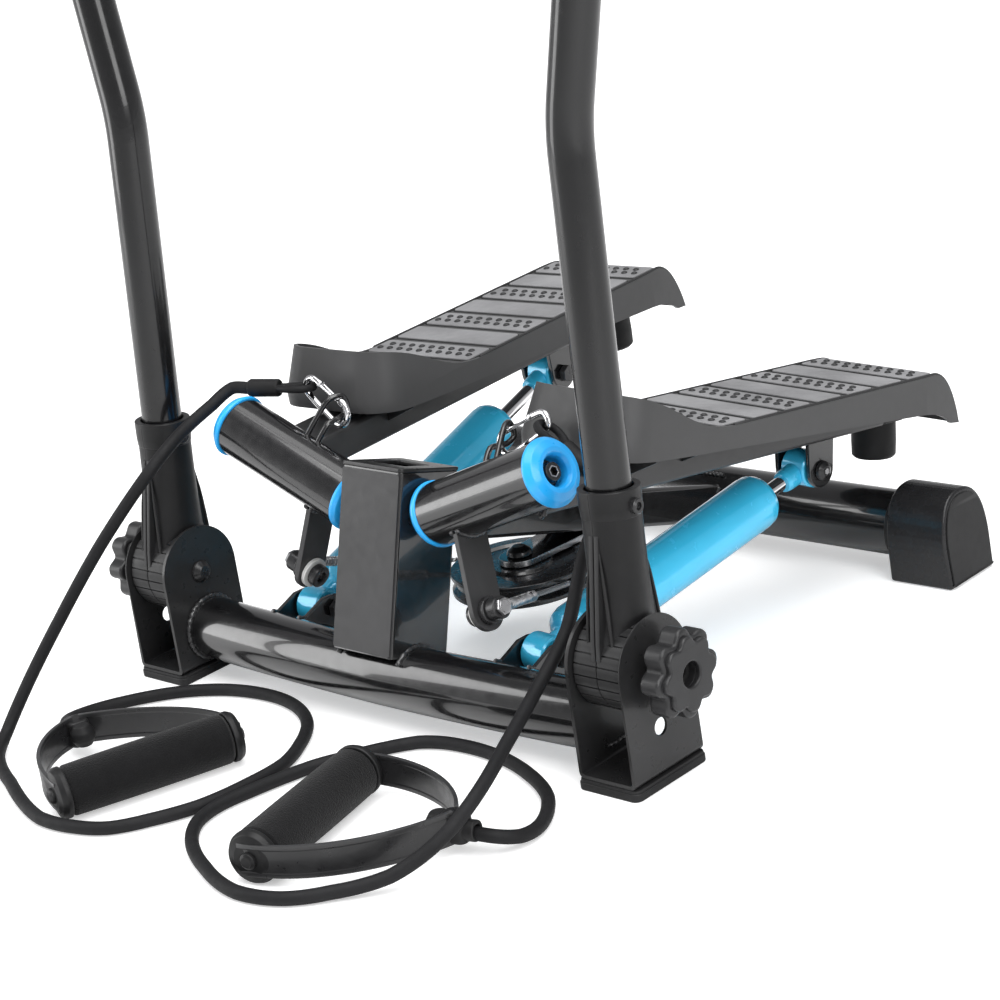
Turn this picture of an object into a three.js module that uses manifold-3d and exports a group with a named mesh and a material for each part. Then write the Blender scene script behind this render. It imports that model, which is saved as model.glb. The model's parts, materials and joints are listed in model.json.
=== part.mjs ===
// Folding twist stepper: two coupled pedals on inclined pivots, hydraulic cylinders, resistance cords.
// Millimetres, +Z up, +Y to the rear, +X to the user's left. The machine is built about its mid-plane.
import * as THREE from 'three';
import { mergeVertices } from 'three/addons/utils/BufferGeometryUtils.js';
import Module from 'manifold-3d';

// ---- driving dimensions -------------------------------------------------------------------------
const GAP = 0.3; // left between a cut piece and its neighbour
const RUN = 0.6; // running clearance round a turning piece
const ROUND = 20; // sides of a round piece
const FINE = 10; // sides of a small round piece
const CUT = 400; // longer than any piece a cutter passes through

const CROSS = { y: -5, z: 38, radius: 25, wall: 2, halfLength: 214, bow: 10 };
const REAR = { y: 400, z: 39, radius: 27, wall: 2, halfLength: 246 };
const FOOT = { inner: 196, outer: 256, depth: 62, height: 76, crown: 31, wall: 4 };
const HUB_Z = 86.3; // height of the handlebar hinge
const BRACKET = { inner: 214.4, outer: 265.9, wall: 3, front: -37.5, back: 37.5, base: 8.5, radius: 37.5 };
const PAD_GROW = 2; // the rubber pad stands this far proud of the bracket
const SOCKET = { middle: 240.2, half: 21, disc: 34, collar: 21, top: 212 };
const POLE = { radius: 16, wall: 1.8 };
const BEND = { x: 230, y: 24.3, z: 455 }; // where the pole turns outwards
const POLE_TOP = { x: 318, y: 50, z: 880 };
const BAR = { x: 250, y: 32, z: 1235, corner: 60 };
const KNOB = { face: 297.1, inner: 269.5, radius: 32.7, lobes: 8, lobe: 3.4 };
const BOLT_RADIUS = 5;

const POST = { width: 62.8, depth: 61, wall: 2.5, height: 142.4, tilt: 17, frontY: 10.7, frontZ: 199.2 };
const CAP_PLATE = 3;
const BEAM = { width: 40, height: 32.5, wall: 2, below: 26.5, end: 400 };

const PIVOT = { x: 47.8, y: 27.5, z: 161, rise: 21.2, length: 124, radius: 24, bore: 21.5 };
const AXLE_RADIUS = 10;
const SWING_APART = 10.32; // degrees between the two pedals at rest
const PEDAL = { x: 133.9, y: 189.2, z: 191.2, yaw: -4.93, pitch: -7.6 };
const DECK = { half: 62, front: -105, rear: 284, wall: 3.5, toe: 40, rib: 3 };
const TREAD = { pitch: 36.2, depth: 28, half: 57.5, count: 7, height: 1.6 };
const ARM = { half: 27, top: -17, bottom: -42, wall: 2, front: -150, rear: 225 };
const CLEVIS = { u: 156, n: -66.6, v: 1.8, gap: 14.5, ear: 4 };
const LEVER = { along: 25.5, forward: 21.5, down: 77.5, width: 29, thick: 5 };
const EYELET = { wire: 2.2 };
const BUMPER = { u: 251.7, n: -74, radius: 18.4, top: -42.3 };

const EYE = { x: 122, y: 39.8, z: 56, radius: 15, half: 12, bore: 7.5 };
const ROD_END = { x: 147.94, y: 334.3, z: 104.76 };
const TILT_AXIS = new THREE.Vector3(0.9091, 0.0082, 0.4165).normalize();
const TILT_RATIO = 0.966; // cylinder tilt per pedal swing
const SLIDE_RATE = 123.5; // rod travel per radian of pedal swing
const BODY = { start: 21, end: 249, radius: 22.5 };
const ROD_RADIUS = 6;
const PIN_RADIUS = 5;

const PULLEY = { y: 150, bottom: 52, top: 70, radius: 57, groove: 52.4, cable: 61 };
const CABLE_RADIUS = 2;
const CABLE_PITCH = 55; // radius of the cable's centre line on the pulley
const CABLE_TRIM = 7; // the straight run stops this far before it meets the pulley
const CABLE_LEAD = 12.9; // the raised pedal's run has moved this far on to the pulley

const CORD_RADIUS = 5;
const GRIP = { radius: 19.5, length: 146, cap: 9, strapWidth: 24, strap: 2.4 };

// ---- materials ----------------------------------------------------------------------------------
const finish = (color, roughness, metalness) => new THREE.MeshStandardMaterial({ color, roughness, metalness });
const PAINT = finish(0x141416, 0.25, 0.4);
const SATIN = finish(0x222325, 0.5, 0.2);
const PLASTIC = finish(0x3a3b3d, 0.55, 0);
const RUBBER = finish(0x1c1c1d, 0.8, 0);
const FOAM = finish(0x1a1a1b, 0.95, 0);
const BLUE = finish(0x3fb6ea, 0.3, 0.1);
const BLUE_PLASTIC = finish(0x38b0ee, 0.4, 0);
const CHROME = finish(0xd8dadc, 0.12, 1);
const STEEL = finish(0x9a9c9f, 0.35, 1);

// ---- solids: cutting and joining ------------------------------------------------------------------
const wasm = await Module();
wasm.setup();

function signedVolume(geometry) {
  const p = geometry.attributes.position;
  const index = geometry.index.array;
  const [a, b, c] = [new THREE.Vector3(), new THREE.Vector3(), new THREE.Vector3()];
  let sum = 0;
  for (let i = 0; i < index.length; i += 3) {
    a.fromBufferAttribute(p, index[i]);
    b.fromBufferAttribute(p, index[i + 1]);
    c.fromBufferAttribute(p, index[i + 2]);
    sum += a.dot(b.cross(c)) / 6;
  }
  return sum;
}

// A geometry with merged corners whose faces point out.
function closed(geometry) {
  const plain = geometry.clone();
  plain.deleteAttribute('normal');
  plain.deleteAttribute('uv');
  const merged = mergeVertices(plain, 1e-4);
  if (signedVolume(merged) < 0) merged.index.array.reverse();
  return merged;
}

function toSolid(geometry) {
  const shape = closed(geometry);
  const vertProperties = new Float32Array(shape.attributes.position.array);
  const triVerts = new Uint32Array(shape.index.array);
  return new wasm.Manifold(new wasm.Mesh({ numProp: 3, vertProperties, triVerts }));
}

function toGeometry(manifold) {
  const mesh = manifold.getMesh();
  const geometry = new THREE.BufferGeometry();
  geometry.setAttribute('position', new THREE.BufferAttribute(mesh.vertProperties, 3));
  geometry.setIndex(new THREE.BufferAttribute(mesh.triVerts, 1));
  return geometry;
}

function join(...geometries) {
  return toGeometry(geometries.map(toSolid).reduce((a, b) => a.add(b)));
}

function cut(geometry, ...tools) {
  return toGeometry(tools.map(toSolid).reduce((a, b) => a.subtract(b), toSolid(geometry)));
}

function common(a, b) {
  return toGeometry(toSolid(a).intersect(toSolid(b)));
}

// ---- solids: shapes -------------------------------------------------------------------------------
const radians = THREE.MathUtils.degToRad;
const point = (x, y, z) => new THREE.Vector3(x, y, z);

function moved(geometry, x, y, z) {
  return geometry.clone().translate(x, y, z);
}

function framed(geometry, matrix) {
  return geometry.clone().applyMatrix4(matrix);
}

function mirrored(geometry) {
  return closed(geometry.clone().scale(-1, 1, 1));
}

function box(x0, x1, y0, y1, z0, z1) {
  const geometry = new THREE.BoxGeometry(x1 - x0, y1 - y0, z1 - z0);
  return closed(geometry.translate((x0 + x1) / 2, (y0 + y1) / 2, (z0 + z1) / 2));
}

// Turned about Z from a closed profile, or one that starts and ends on the axis: [radius, z] pairs.
function turned(profile, sides = ROUND) {
  const points = profile.map(([r, z]) => new THREE.Vector2(r, z));
  const geometry = new THREE.LatheGeometry(points, sides);
  return closed(geometry.rotateX(Math.PI / 2));
}

function disc(radius, z0, z1, sides = ROUND) {
  return turned([[0, z0], [radius, z0], [radius, z1], [0, z1]], sides);
}

function ring(outer, inner, z0, z1, sides = ROUND) {
  return turned([[inner, z0], [outer, z0], [outer, z1], [inner, z1], [inner, z0]], sides);
}

// Turns a piece made along Z to lie along X.
function alongX(geometry) {
  return geometry.clone().rotateY(Math.PI / 2);
}

function roundRect(x0, x1, y0, y1, r) {
  const shape = new THREE.Shape();
  shape.moveTo(x0 + r, y0);
  shape.lineTo(x1 - r, y0);
  shape.absarc(x1 - r, y0 + r, r, -Math.PI / 2, 0);
  shape.lineTo(x1, y1 - r);
  shape.absarc(x1 - r, y1 - r, r, 0, Math.PI / 2);
  shape.lineTo(x0 + r, y1);
  shape.absarc(x0 + r, y1 - r, r, Math.PI / 2, Math.PI);
  shape.lineTo(x0, y0 + r);
  shape.absarc(x0 + r, y0 + r, r, Math.PI, Math.PI * 1.5);
  return shape;
}

// Extrudes a shape drawn in (x, y) from z0 to z1.
function prism(shape, z0, z1, curveSegments = 6) {
  const geometry = new THREE.ExtrudeGeometry(shape, { depth: z1 - z0, bevelEnabled: false, curveSegments });
  return closed(geometry.translate(0, 0, z0));
}

// Extrudes a shape drawn in (y, z) from x0 to x1.
function prismX(shape, x0, x1, curveSegments = 5) {
  const upright = new THREE.Matrix4().makeBasis(point(0, 1, 0), point(0, 0, 1), point(1, 0, 0));
  return framed(prism(shape, x0, x1, curveSegments), upright);
}

function circle(radius) {
  return new THREE.Shape().absarc(0, 0, radius, 0, Math.PI * 2);
}

// Sweeps a shape along a path.
function swept(shape, path, steps, curveSegments = 5) {
  const options = { steps, bevelEnabled: false, extrudePath: path, curveSegments };
  return closed(new THREE.ExtrudeGeometry(shape, options));
}

function wire(points, radius, steps, curveSegments = 4) {
  return swept(circle(radius), new THREE.CatmullRomCurve3(points), steps, curveSegments);
}

// A round bar from one point to another.
function bar(from, to, radius, sides = ROUND) {
  const along = to.clone().sub(from);
  const turn = new THREE.Quaternion().setFromUnitVectors(point(0, 0, 1), along.clone().normalize());
  const matrix = new THREE.Matrix4().compose(from, turn, point(1, 1, 1));
  return framed(disc(radius, 0, along.length(), sides), matrix);
}

// ---- frames -----------------------------------------------------------------------------------------
function frame(x, y, z, turnX, turnY, turnZ, order) {
  const turn = new THREE.Euler(radians(turnX), radians(turnY), radians(turnZ), order);
  return new THREE.Matrix4().makeRotationFromEuler(turn).setPosition(x, y, z);
}

// Pivot frame: +X runs outwards along the pivot axle, +Y to the rear. Pedal frame: +X to the outside,
// +Y to the heel, +Z out of the tread. Post frame: +Y to the rear along the cap, +Z up the post.
const pivotFrame = frame(PIVOT.x, PIVOT.y, PIVOT.z, 0, -PIVOT.rise, 0, 'ZYX');
const pedalFrame = frame(PEDAL.x, PEDAL.y, PEDAL.z, PEDAL.pitch, 0, PEDAL.yaw, 'ZXY');
const postFrame = frame(0, POST.frontY, POST.frontZ, -POST.tilt, 0, 0, 'XYZ');

const pivotPoint = point(PIVOT.x, PIVOT.y, PIVOT.z);
const eyeletShoulder = point(51, 41, 28); // in the pivot's frame
const pivotAxis = point(1, 0, 0).transformDirection(pivotFrame);
const eyePoint = point(EYE.x, EYE.y, EYE.z);
const rodEnd = point(ROD_END.x, ROD_END.y, ROD_END.z);
const strokeAxis = rodEnd.clone().sub(eyePoint).normalize();
const strokeLength = rodEnd.distanceTo(eyePoint);

// Cylinder frame: +Z from the lower eye to the upper one, +X along the eyes' bores.
function cylinderFrame() {
  const across = point(1, 0, 0).transformDirection(pedalFrame);
  const z = strokeAxis.clone();
  const x = across.addScaledVector(z, -across.dot(z)).normalize();
  const y = z.clone().cross(x);
  return new THREE.Matrix4().makeBasis(x, y, z).setPosition(eyePoint);
}
const cylinder = cylinderFrame();

// A pose that turns a piece about an axis through a point.
function turnAbout(origin, axis, degrees) {
  const turn = new THREE.Quaternion().setFromAxisAngle(axis, radians(degrees));
  const shift = origin.clone().sub(origin.clone().applyQuaternion(turn));
  return new THREE.Matrix4().compose(shift, turn, point(1, 1, 1));
}

// ---- base frame ---------------------------------------------------------------------------------------
function crossTubeSolid(radius) {
  const { y, z, halfLength, bow } = CROSS;
  const ends = [-halfLength - 8, -halfLength * 0.8, 0, halfLength * 0.8, halfLength + 8];
  const back = [bow, bow * 0.6, 0, bow * 0.6, bow];
  const points = ends.map((x, i) => point(x, y - bow / 3 + back[i], z));
  return swept(circle(radius), new THREE.CatmullRomCurve3(points), 8, 6);
}

function cylinderAnchor(side) {
  const ears = [-1, 1].map((way) => {
    const inner = side * EYE.x + way * (EYE.half + 2);
    const outer = inner + way * CLEVIS.ear;
    const shape = new THREE.Shape();
    shape.moveTo(12, 44);
    shape.lineTo(EYE.y + 6, 40);
    shape.absarc(EYE.y, EYE.z, 12, -Math.PI * 0.3, Math.PI / 2);
    shape.lineTo(EYE.y - 10, EYE.z + 12);
    shape.lineTo(4, 58);
    return prismX(shape, Math.min(inner, outer), Math.max(inner, outer), 6);
  });
  const at = (x) => point(side * EYE.x + x, EYE.y, EYE.z);
  const bore = bar(at(-30), at(30), PIN_RADIUS + GAP, FINE);
  return ears.map((ear) => cut(ear, bore));
}

function frontCrossTube() {
  const reach = CROSS.halfLength - GAP;
  const outer = common(crossTubeSolid(CROSS.radius), box(-reach, reach, -CUT, CUT, -CUT, CUT));
  const welded = join(outer, ...cylinderAnchor(1), ...cylinderAnchor(-1));
  return cut(welded, crossTubeSolid(CROSS.radius - CROSS.wall));
}

function consolePost() {
  const half = POST.width / 2;
  const { depth, wall, height } = POST;
  const shell = prism(roundRect(-half, half, 0, depth, 3), -height, -CAP_PLATE - GAP, 3);
  const hollow = prism(roundRect(wall - half, half - wall, wall, depth - wall, 2), -height - 1, 1, 3);
  const walls = cut(framed(cut(shell, hollow), postFrame), crossTubeSolid(CROSS.radius + GAP));
  const axle = disc(AXLE_RADIUS, -22.5, PIVOT.length - 4, 16);
  const boltHole = disc(4.3, PIVOT.length - 44, PIVOT.length, FINE);
  const stub = framed(alongX(cut(axle, boltHole)), pivotFrame);
  return join(walls, stub, mirrored(stub));
}

function postCap() {
  const half = POST.width / 2 + 0.6;
  const plate = prism(roundRect(-half, half, -0.6, POST.depth + 0.6, 3.5), -CAP_PLATE, 0, 3);
  const opening = box(-17, 17, 17, 45, -10, 10);
  return framed(cut(plate, opening), postFrame);
}

// The beam leaves the back of the post square to it and runs down to the rear tube; the slotted
// plate that carries the pulley is welded under it.
function mainBeam() {
  const half = BEAM.width / 2;
  const start = POST.depth + GAP;
  const top = -BEAM.below;
  const reach = (BEAM.end - POST.frontY) / Math.cos(radians(POST.tilt));
  const outer = box(-half, half, start, reach, top - BEAM.height, top);
  const { wall, height } = BEAM;
  const inner = box(wall - half, half - wall, start - 1, reach + 1, top - height + wall, top - wall);
  const channel = framed(cut(outer, inner), postFrame);
  const plateTop = PULLEY.top + 6;
  const plate = cut(pulleyPlate(plateTop), framed(inner, postFrame));
  const rearTube = alongX(disc(REAR.radius + GAP, -CUT, CUT, 48)).translate(0, REAR.y, REAR.z);
  const behind = box(-CUT, CUT, REAR.y, REAR.y + CUT, -CUT, CUT);
  return cut(join(channel, plate), rearTube, behind);
}

function pulleyPlate(top) {
  const shape = new THREE.Shape();
  const nose = 17;
  shape.moveTo(-19, 236);
  shape.lineTo(-19, 190);
  shape.lineTo(-nose, PULLEY.y);
  shape.absarc(0, PULLEY.y, nose, Math.PI, Math.PI * 2);
  shape.lineTo(19, 190);
  shape.lineTo(19, 236);
  const bolt = moved(disc(BOLT_RADIUS + GAP, -CUT, CUT, FINE), 0, PULLEY.y, 0);
  return cut(prism(shape, top - 5, top), bolt);
}

function rearCrossTube() {
  const { radius, wall, halfLength } = REAR;
  return alongX(ring(radius, radius - wall, -halfLength, halfLength, 36)).translate(0, REAR.y, REAR.z);
}

// Moulded end foot: rounded over the tube, flared to a flat base, with a pocket for the tube.
function rearFoot() {
  const { inner, outer, depth, height, crown, wall } = FOOT;
  const half = depth / 2;
  const shape = new THREE.Shape();
  const shoulder = height - crown;
  shape.moveTo(-half, 0);
  shape.lineTo(half, 0);
  shape.lineTo(half + 1, shoulder * 0.7);
  shape.absarc(0, shoulder, crown, 0.02, Math.PI - 0.02);
  shape.lineTo(-half - 1, shoulder * 0.7);
  const block = moved(prismX(shape, inner, outer, 10), 0, REAR.y, 0);
  const pocket = alongX(disc(REAR.radius + GAP, inner - 1, REAR.halfLength + 1, 36)).translate(0, REAR.y, REAR.z);
  const hollow = box(inner + wall, outer - wall, REAR.y - half + 8, REAR.y + half - 8, -1, REAR.z - REAR.radius - 3);
  return cut(block, pocket, hollow);
}

function bracketProfile(grow, floor) {
  const { front, back, radius } = BRACKET;
  const shape = new THREE.Shape();
  shape.moveTo(front - grow, floor);
  shape.lineTo(back + grow, floor);
  shape.lineTo(back + grow, HUB_Z);
  shape.absarc(0, HUB_Z, radius + grow, 0, Math.PI);
  return shape;
}

// U-shaped hinge bracket folded from sheet.
function hingeBracket() {
  const { inner, outer, wall, base } = BRACKET;
  const block = prismX(bracketProfile(0, base), inner, outer, 7);
  const slot = box(inner + wall, outer - wall, -CUT, CUT, base + wall, CUT);
  const bolt = alongX(disc(BOLT_RADIUS + GAP, 0, CUT, 16)).translate(0, 0, HUB_Z);
  const drain = alongX(disc(6.5, 0, CUT, 16)).translate(0, 0, 50);
  return cut(block, slot, bolt, drain);
}

function footPad() {
  const { inner, outer, front, back, base } = BRACKET;
  const shape = roundRect(inner - PAD_GROW, outer + PAD_GROW, front - PAD_GROW, back + PAD_GROW, 6);
  return prism(shape, 0, base - GAP, 4);
}

// Carriage bolt through the bracket and the folding disc; its head is on the inner cheek.
function clampBolt() {
  const { inner } = BRACKET;
  const head = turned([[0, -6], [4.5, -5.2], [8.5, -1.2], [8.5, 0], [0, 0]], FINE).translate(0, 0, inner - GAP);
  const shank = disc(BOLT_RADIUS, inner - 2, KNOB.inner + 13, 16);
  return alongX(join(head, shank)).translate(0, 0, HUB_Z);
}

function clampKnob() {
  const { face, inner, radius, lobes, lobe } = KNOB;
  const outline = new THREE.Shape();
  const turns = lobes * 4;
  for (let i = 0; i < turns; i += 1) {
    const angle = (i / turns) * Math.PI * 2;
    const r = radius - lobe + lobe * Math.cos(angle * lobes);
    if (i === 0) outline.moveTo(r, 0);
    else outline.lineTo(r * Math.cos(angle), r * Math.sin(angle));
  }
  const grip = prism(outline, inner + 7, face);
  const boss = disc(15, inner, inner + 8, 24);
  const recess = disc(9, face - 8, face + 1, 20);
  const thread = disc(BOLT_RADIUS + RUN, inner - 1, KNOB.inner + 14, 16);
  return alongX(cut(join(grip, boss), recess, thread)).translate(0, 0, HUB_Z);
}

// ---- folding handlebar ------------------------------------------------------------------------------
const hub = point(SOCKET.middle, 0, HUB_Z);
const bend = point(BEND.x, BEND.y, BEND.z);
const socketTop = hub.clone().lerp(bend, (SOCKET.top - HUB_Z) / (BEND.z - HUB_Z));

// One half of the moulded socket: a notched disc, a tapered neck with a rib, and a collar.
function socketHalf(outerHalf) {
  const { middle, half, disc: radius, collar } = SOCKET;
  const wheel = alongX(disc(radius, middle - half, middle + half, 30)).translate(0, 0, HUB_Z);
  const neckFoot = hub.clone().addScaledVector(socketTop.clone().sub(hub).normalize(), 12);
  const along = socketTop.clone().sub(neckFoot);
  const turn = new THREE.Quaternion().setFromUnitVectors(point(0, 0, 1), along.clone().normalize());
  const place = new THREE.Matrix4().compose(neckFoot, turn, point(1, 1, 1));
  const length = along.length();
  const neck = framed(disc(collar, 0, length, 24), place);
  const rib = new THREE.Shape();
  rib.moveTo(-radius + 2, 8);
  rib.lineTo(radius - 2, 8);
  rib.lineTo(collar, length - 30);
  rib.lineTo(-collar, length - 30);
  const ribs = framed(prismX(rib, -3, 3, 4), place);
  const shell = join(wheel, neck, ribs);
  const poleBore = framed(disc(POLE.radius + GAP, 24, length + 1, 24), place);
  const boltBore = alongX(disc(BOLT_RADIUS + RUN, 0, CUT, 16)).translate(0, 0, HUB_Z);
  const seam = middle - 1.5;
  const keep = outerHalf ? box(seam + GAP / 2, CUT, -CUT, CUT, 0, CUT) : box(0, seam - GAP / 2, -CUT, CUT, 0, CUT);
  return common(cut(shell, poleBore, boltBore), keep);
}

const poleTop = point(POLE_TOP.x, POLE_TOP.y, POLE_TOP.z);
const poleUp = poleTop.clone().sub(bend).normalize();

// Wall section of the handlebar tubes.
function tubeSection() {
  const section = circle(POLE.radius);
  section.holes.push(new THREE.Path().absarc(0, 0, POLE.radius - POLE.wall, 0, Math.PI * 2));
  return section;
}

function pole() {
  const start = hub.clone().lerp(socketTop, 0.31);
  const down = start.clone().sub(bend).normalize();
  const below = (distance) => bend.clone().addScaledVector(down, distance);
  const above = (distance) => bend.clone().addScaledVector(poleUp, distance);
  const knee = below(24).lerp(above(24), 0.5).lerp(bend, 0.5);
  const points = [start, below(200), below(70), below(24), knee, above(24), above(70), above(250), poleTop];
  return swept(tubeSection(), new THREE.CatmullRomCurve3(points), 14, 6);
}

// Upper bar: a sleeve on each end slips over a pole, and the bar bends in to the hand grip.
function topBar() {
  const { x, y, z, corner } = BAR;
  const foot = poleTop.clone().addScaledVector(poleUp, 4);
  const shoulder = point(x + 82, y + 22, z - 160);
  const half = [foot, shoulder, point(x + 60, y + 10, z - corner), point(x, y, z), point(120, y, z)];
  const other = half.map((p) => point(-p.x, p.y, p.z)).reverse();
  const tube = swept(tubeSection(), new THREE.CatmullRomCurve3([...half, ...other]), 20, 5);
  return join(tube, poleSleeve(), mirrored(poleSleeve()));
}

function poleSleeve() {
  const upwards = new THREE.Quaternion().setFromUnitVectors(point(0, 0, 1), poleUp);
  const place = new THREE.Matrix4().compose(poleTop, upwards, point(1, 1, 1));
  const { radius, wall } = POLE;
  const bore = radius + GAP;
  const profile = [
    [bore, -30], [radius + 2.5, -30], [radius + 2.5, 18], [radius - wall, 18], [radius - wall, GAP],
    [bore, GAP], [bore, -30],
  ];
  return framed(turned(profile, 12), place);
}

function foamSleeve() {
  return alongX(ring(POLE.radius + 6, POLE.radius + RUN, -115, 115, 24)).translate(0, BAR.y, BAR.z);
}

// ---- pedal arms ---------------------------------------------------------------------------------------
function armSteel() {
  const { length, radius, bore } = PIVOT;
  const tube = framed(alongX(disc(radius, 0, length)), pivotFrame);
  const boreCut = framed(alongX(disc(bore, -1, length + 1)), pivotFrame);
  const { half, top, bottom, wall, front, rear } = ARM;
  const channel = framed(box(-half, half, front, rear, bottom, top), pedalFrame);
  const inside = box(wall - half, half - wall, front + 28, rear + 1, bottom + wall, top - wall);
  const ears = [-1, 1].map((way) => clevisEar(way));
  const solid = join(tube, channel, ...ears, lever(), eyelet());
  return cut(solid, boreCut, framed(inside, pedalFrame), clevisBore());
}

function clevisEar(way) {
  const { u, n, v, gap, ear } = CLEVIS;
  const shape = new THREE.Shape();
  shape.moveTo(u - 15, ARM.bottom + 1);
  shape.lineTo(u - 14, n);
  shape.absarc(u, n, 14, Math.PI, Math.PI * 2);
  shape.lineTo(u + 15, ARM.bottom + 1);
  const inner = v + way * gap;
  const outer = inner + way * ear;
  return framed(prismX(shape, Math.min(inner, outer), Math.max(inner, outer)), pedalFrame);
}

function clevisBore() {
  const { u, n, v } = CLEVIS;
  return framed(alongX(disc(PIN_RADIUS + GAP, v - 30, v + 30, FINE)).translate(0, u, n), pedalFrame);
}

// Flat lever under the pivot tube, square to it; the cable pulls on its lower end.
function lever() {
  const { along, forward, down, width, thick } = LEVER;
  const length = Math.hypot(forward, down);
  const half = width / 2;
  const shape = new THREE.Shape();
  shape.moveTo(half, -PIVOT.radius + 3);
  shape.lineTo(-half, -PIVOT.radius + 3);
  shape.lineTo(-half, -length);
  shape.absarc(0, -length, half, Math.PI, Math.PI * 2);
  const hole = alongX(disc(PIN_RADIUS + GAP, -CUT, CUT, FINE)).translate(0, 0, -length);
  const plate = cut(prismX(shape, along, along + thick), hole);
  return framed(plate.rotateX(-Math.atan2(forward, down)), pivotFrame);
}

// Wire loop welded between the tube and the channel, its legs side by side along the tube.
function eyelet() {
  const points = [
    point(50, 13, 18), point(50, 26, 30), eyeletShoulder, point(53.5, 49, 31),
    point(57, 47, 41), point(61, 38, 41), point(62, 26, 31), point(62, 13, 19),
  ];
  return framed(wire(points, EYELET.wire, 14, 3), pivotFrame);
}

// Flanged bush pressed into the pivot tube; the outer one has a dished cap for the axle bolt.
function outerBush() {
  const end = PIVOT.length;
  const profile = [
    [AXLE_RADIUS + RUN, end - 22], [PIVOT.bore - GAP, end - 22], [PIVOT.bore - GAP, end + GAP],
    [PIVOT.radius + 1.5, end + GAP], [PIVOT.radius + 1.5, end + 3], [PIVOT.radius - 2, end + 8],
    [15, end + 11.5], [11.5, end + 10], [11, end + 2], [11, end - 4], [AXLE_RADIUS + RUN, end - 4],
    [AXLE_RADIUS + RUN, end - 22],
  ];
  return framed(alongX(turned(profile)), pivotFrame);
}

function innerBush() {
  const flange = PIVOT.radius + 1.5;
  const profile = [
    [AXLE_RADIUS + RUN, -10], [18, -9.2], [PIVOT.radius, -6.3], [flange, -3], [flange, -GAP],
    [PIVOT.bore - GAP, -GAP], [PIVOT.bore - GAP, 20], [AXLE_RADIUS + RUN, 20], [AXLE_RADIUS + RUN, -10],
  ];
  return framed(alongX(turned(profile)), pivotFrame);
}

// Socket bolt and washer that hold the arm on its axle.
function axleBolt() {
  const end = PIVOT.length - 4;
  const washer = disc(AXLE_RADIUS - 0.5, end + GAP, end + 2.5, 20);
  const shank = disc(4, end - 28, end + 3, FINE);
  const head = disc(6.5, end + 2, end + 9, 16);
  const socket = disc(3, end + 5, end + 10, 6);
  return framed(alongX(cut(join(washer, shank, head), socket)), pivotFrame);
}

// Plan of the pedal: a rounded toe, and a heel that narrows a little.
function deckOutline(inset) {
  const { half, front, rear } = DECK;
  const side = half - inset;
  const toeRound = 30 - inset;
  const shape = new THREE.Shape();
  shape.moveTo(side - toeRound, front + inset);
  shape.absarc(side - toeRound, front + inset + toeRound, toeRound, -Math.PI / 2, 0);
  shape.lineTo(side, 236);
  shape.lineTo(side - 5, rear - inset);
  shape.lineTo(5 - side, rear - inset);
  shape.lineTo(-side, 236);
  shape.absarc(toeRound - side, front + inset + toeRound, toeRound, Math.PI, Math.PI * 1.5);
  return shape;
}

// Side view of the pedal, rear to the right: the toe wall falls in a long curve to the tread, the
// heel curls down, and the lower edge of the skirt sinks towards the heel.
function sideView(inset) {
  const { front, rear, toe } = DECK;
  const shape = new THREE.Shape();
  shape.moveTo(front - 1, inset ? -inset : toe);
  if (!inset) {
    shape.lineTo(-98, toe - 0.5);
    shape.bezierCurveTo(-40, toe - 10, -36, 1, 16, 0);
  }
  shape.lineTo(246, -inset);
  shape.bezierCurveTo(262 - inset, -inset, 274 - inset, -14, rear - 1 - inset, -45);
  shape.lineTo(inset ? rear - 1 - inset : 271, inset ? -90 : -43.5);
  if (!inset) shape.bezierCurveTo(262, -35, 246, -31, 232, -30);
  shape.lineTo(inset ? front - 1 : 60, inset ? -90 : -20);
  if (!inset) shape.bezierCurveTo(0, -16, -60, -15, front - 1, -8);
  return shape;
}

// Moulded pedal: a deck with a toe wall, a skirt and a curled heel, hollow and ribbed underneath.
function pedal() {
  const { half, front, wall, toe } = DECK;
  const reach = half + 5;
  const view = (inset) => prismX(sideView(inset), -reach, reach, 5);
  const shell = common(prism(deckOutline(0), -60, toe + 1, 5), view(0));
  const under = common(prism(deckOutline(wall), -60, toe, 5), view(wall + 0.5));
  const over = prism(deckOutline(wall), 0, toe + 2, 5);
  const armNotch = box(-ARM.half - 1, ARM.half + 1, front - 1, front + 9, -60, ARM.top + GAP);
  const body = join(cut(shell, under, over, armNotch), ...treadBlocks(), ...deckRibs(), bumperBoss());
  return framed(cut(body, bumperHole()), pedalFrame);
}

function treadBlocks() {
  const blocks = [];
  for (let i = 0; i < TREAD.count; i += 1) {
    const start = i * TREAD.pitch + (TREAD.pitch - TREAD.depth) / 2;
    const shape = roundRect(-TREAD.half, TREAD.half, start, start + TREAD.depth, 3);
    blocks.push(prism(shape, -1, TREAD.height, 1));
  }
  return blocks;
}

// Cross ribs under the deck, with gussets that come down beside the channel.
function deckRibs() {
  const { half, wall, rib } = DECK;
  const reach = half - wall + 1;
  const inner = ARM.half + RUN;
  const shape = new THREE.Shape();
  shape.moveTo(-reach, -3);
  shape.lineTo(reach, -3);
  shape.lineTo(reach, -14);
  shape.lineTo(inner, -28);
  shape.lineTo(inner, ARM.top + GAP);
  shape.lineTo(-inner, ARM.top + GAP);
  shape.lineTo(-inner, -28);
  shape.lineTo(-reach, -14);
  const upright = new THREE.Matrix4().makeBasis(point(1, 0, 0), point(0, 0, 1), point(0, -1, 0));
  const gusset = framed(prism(shape, -rib / 2, rib / 2), upright);
  return [-67, -8, 51, 111, 171].map((u) => moved(gusset, 0, u, 0));
}

function bumperBoss() {
  return box(-24, 24, ARM.rear + 2, BUMPER.u + 4, BUMPER.top + GAP, -3);
}

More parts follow.
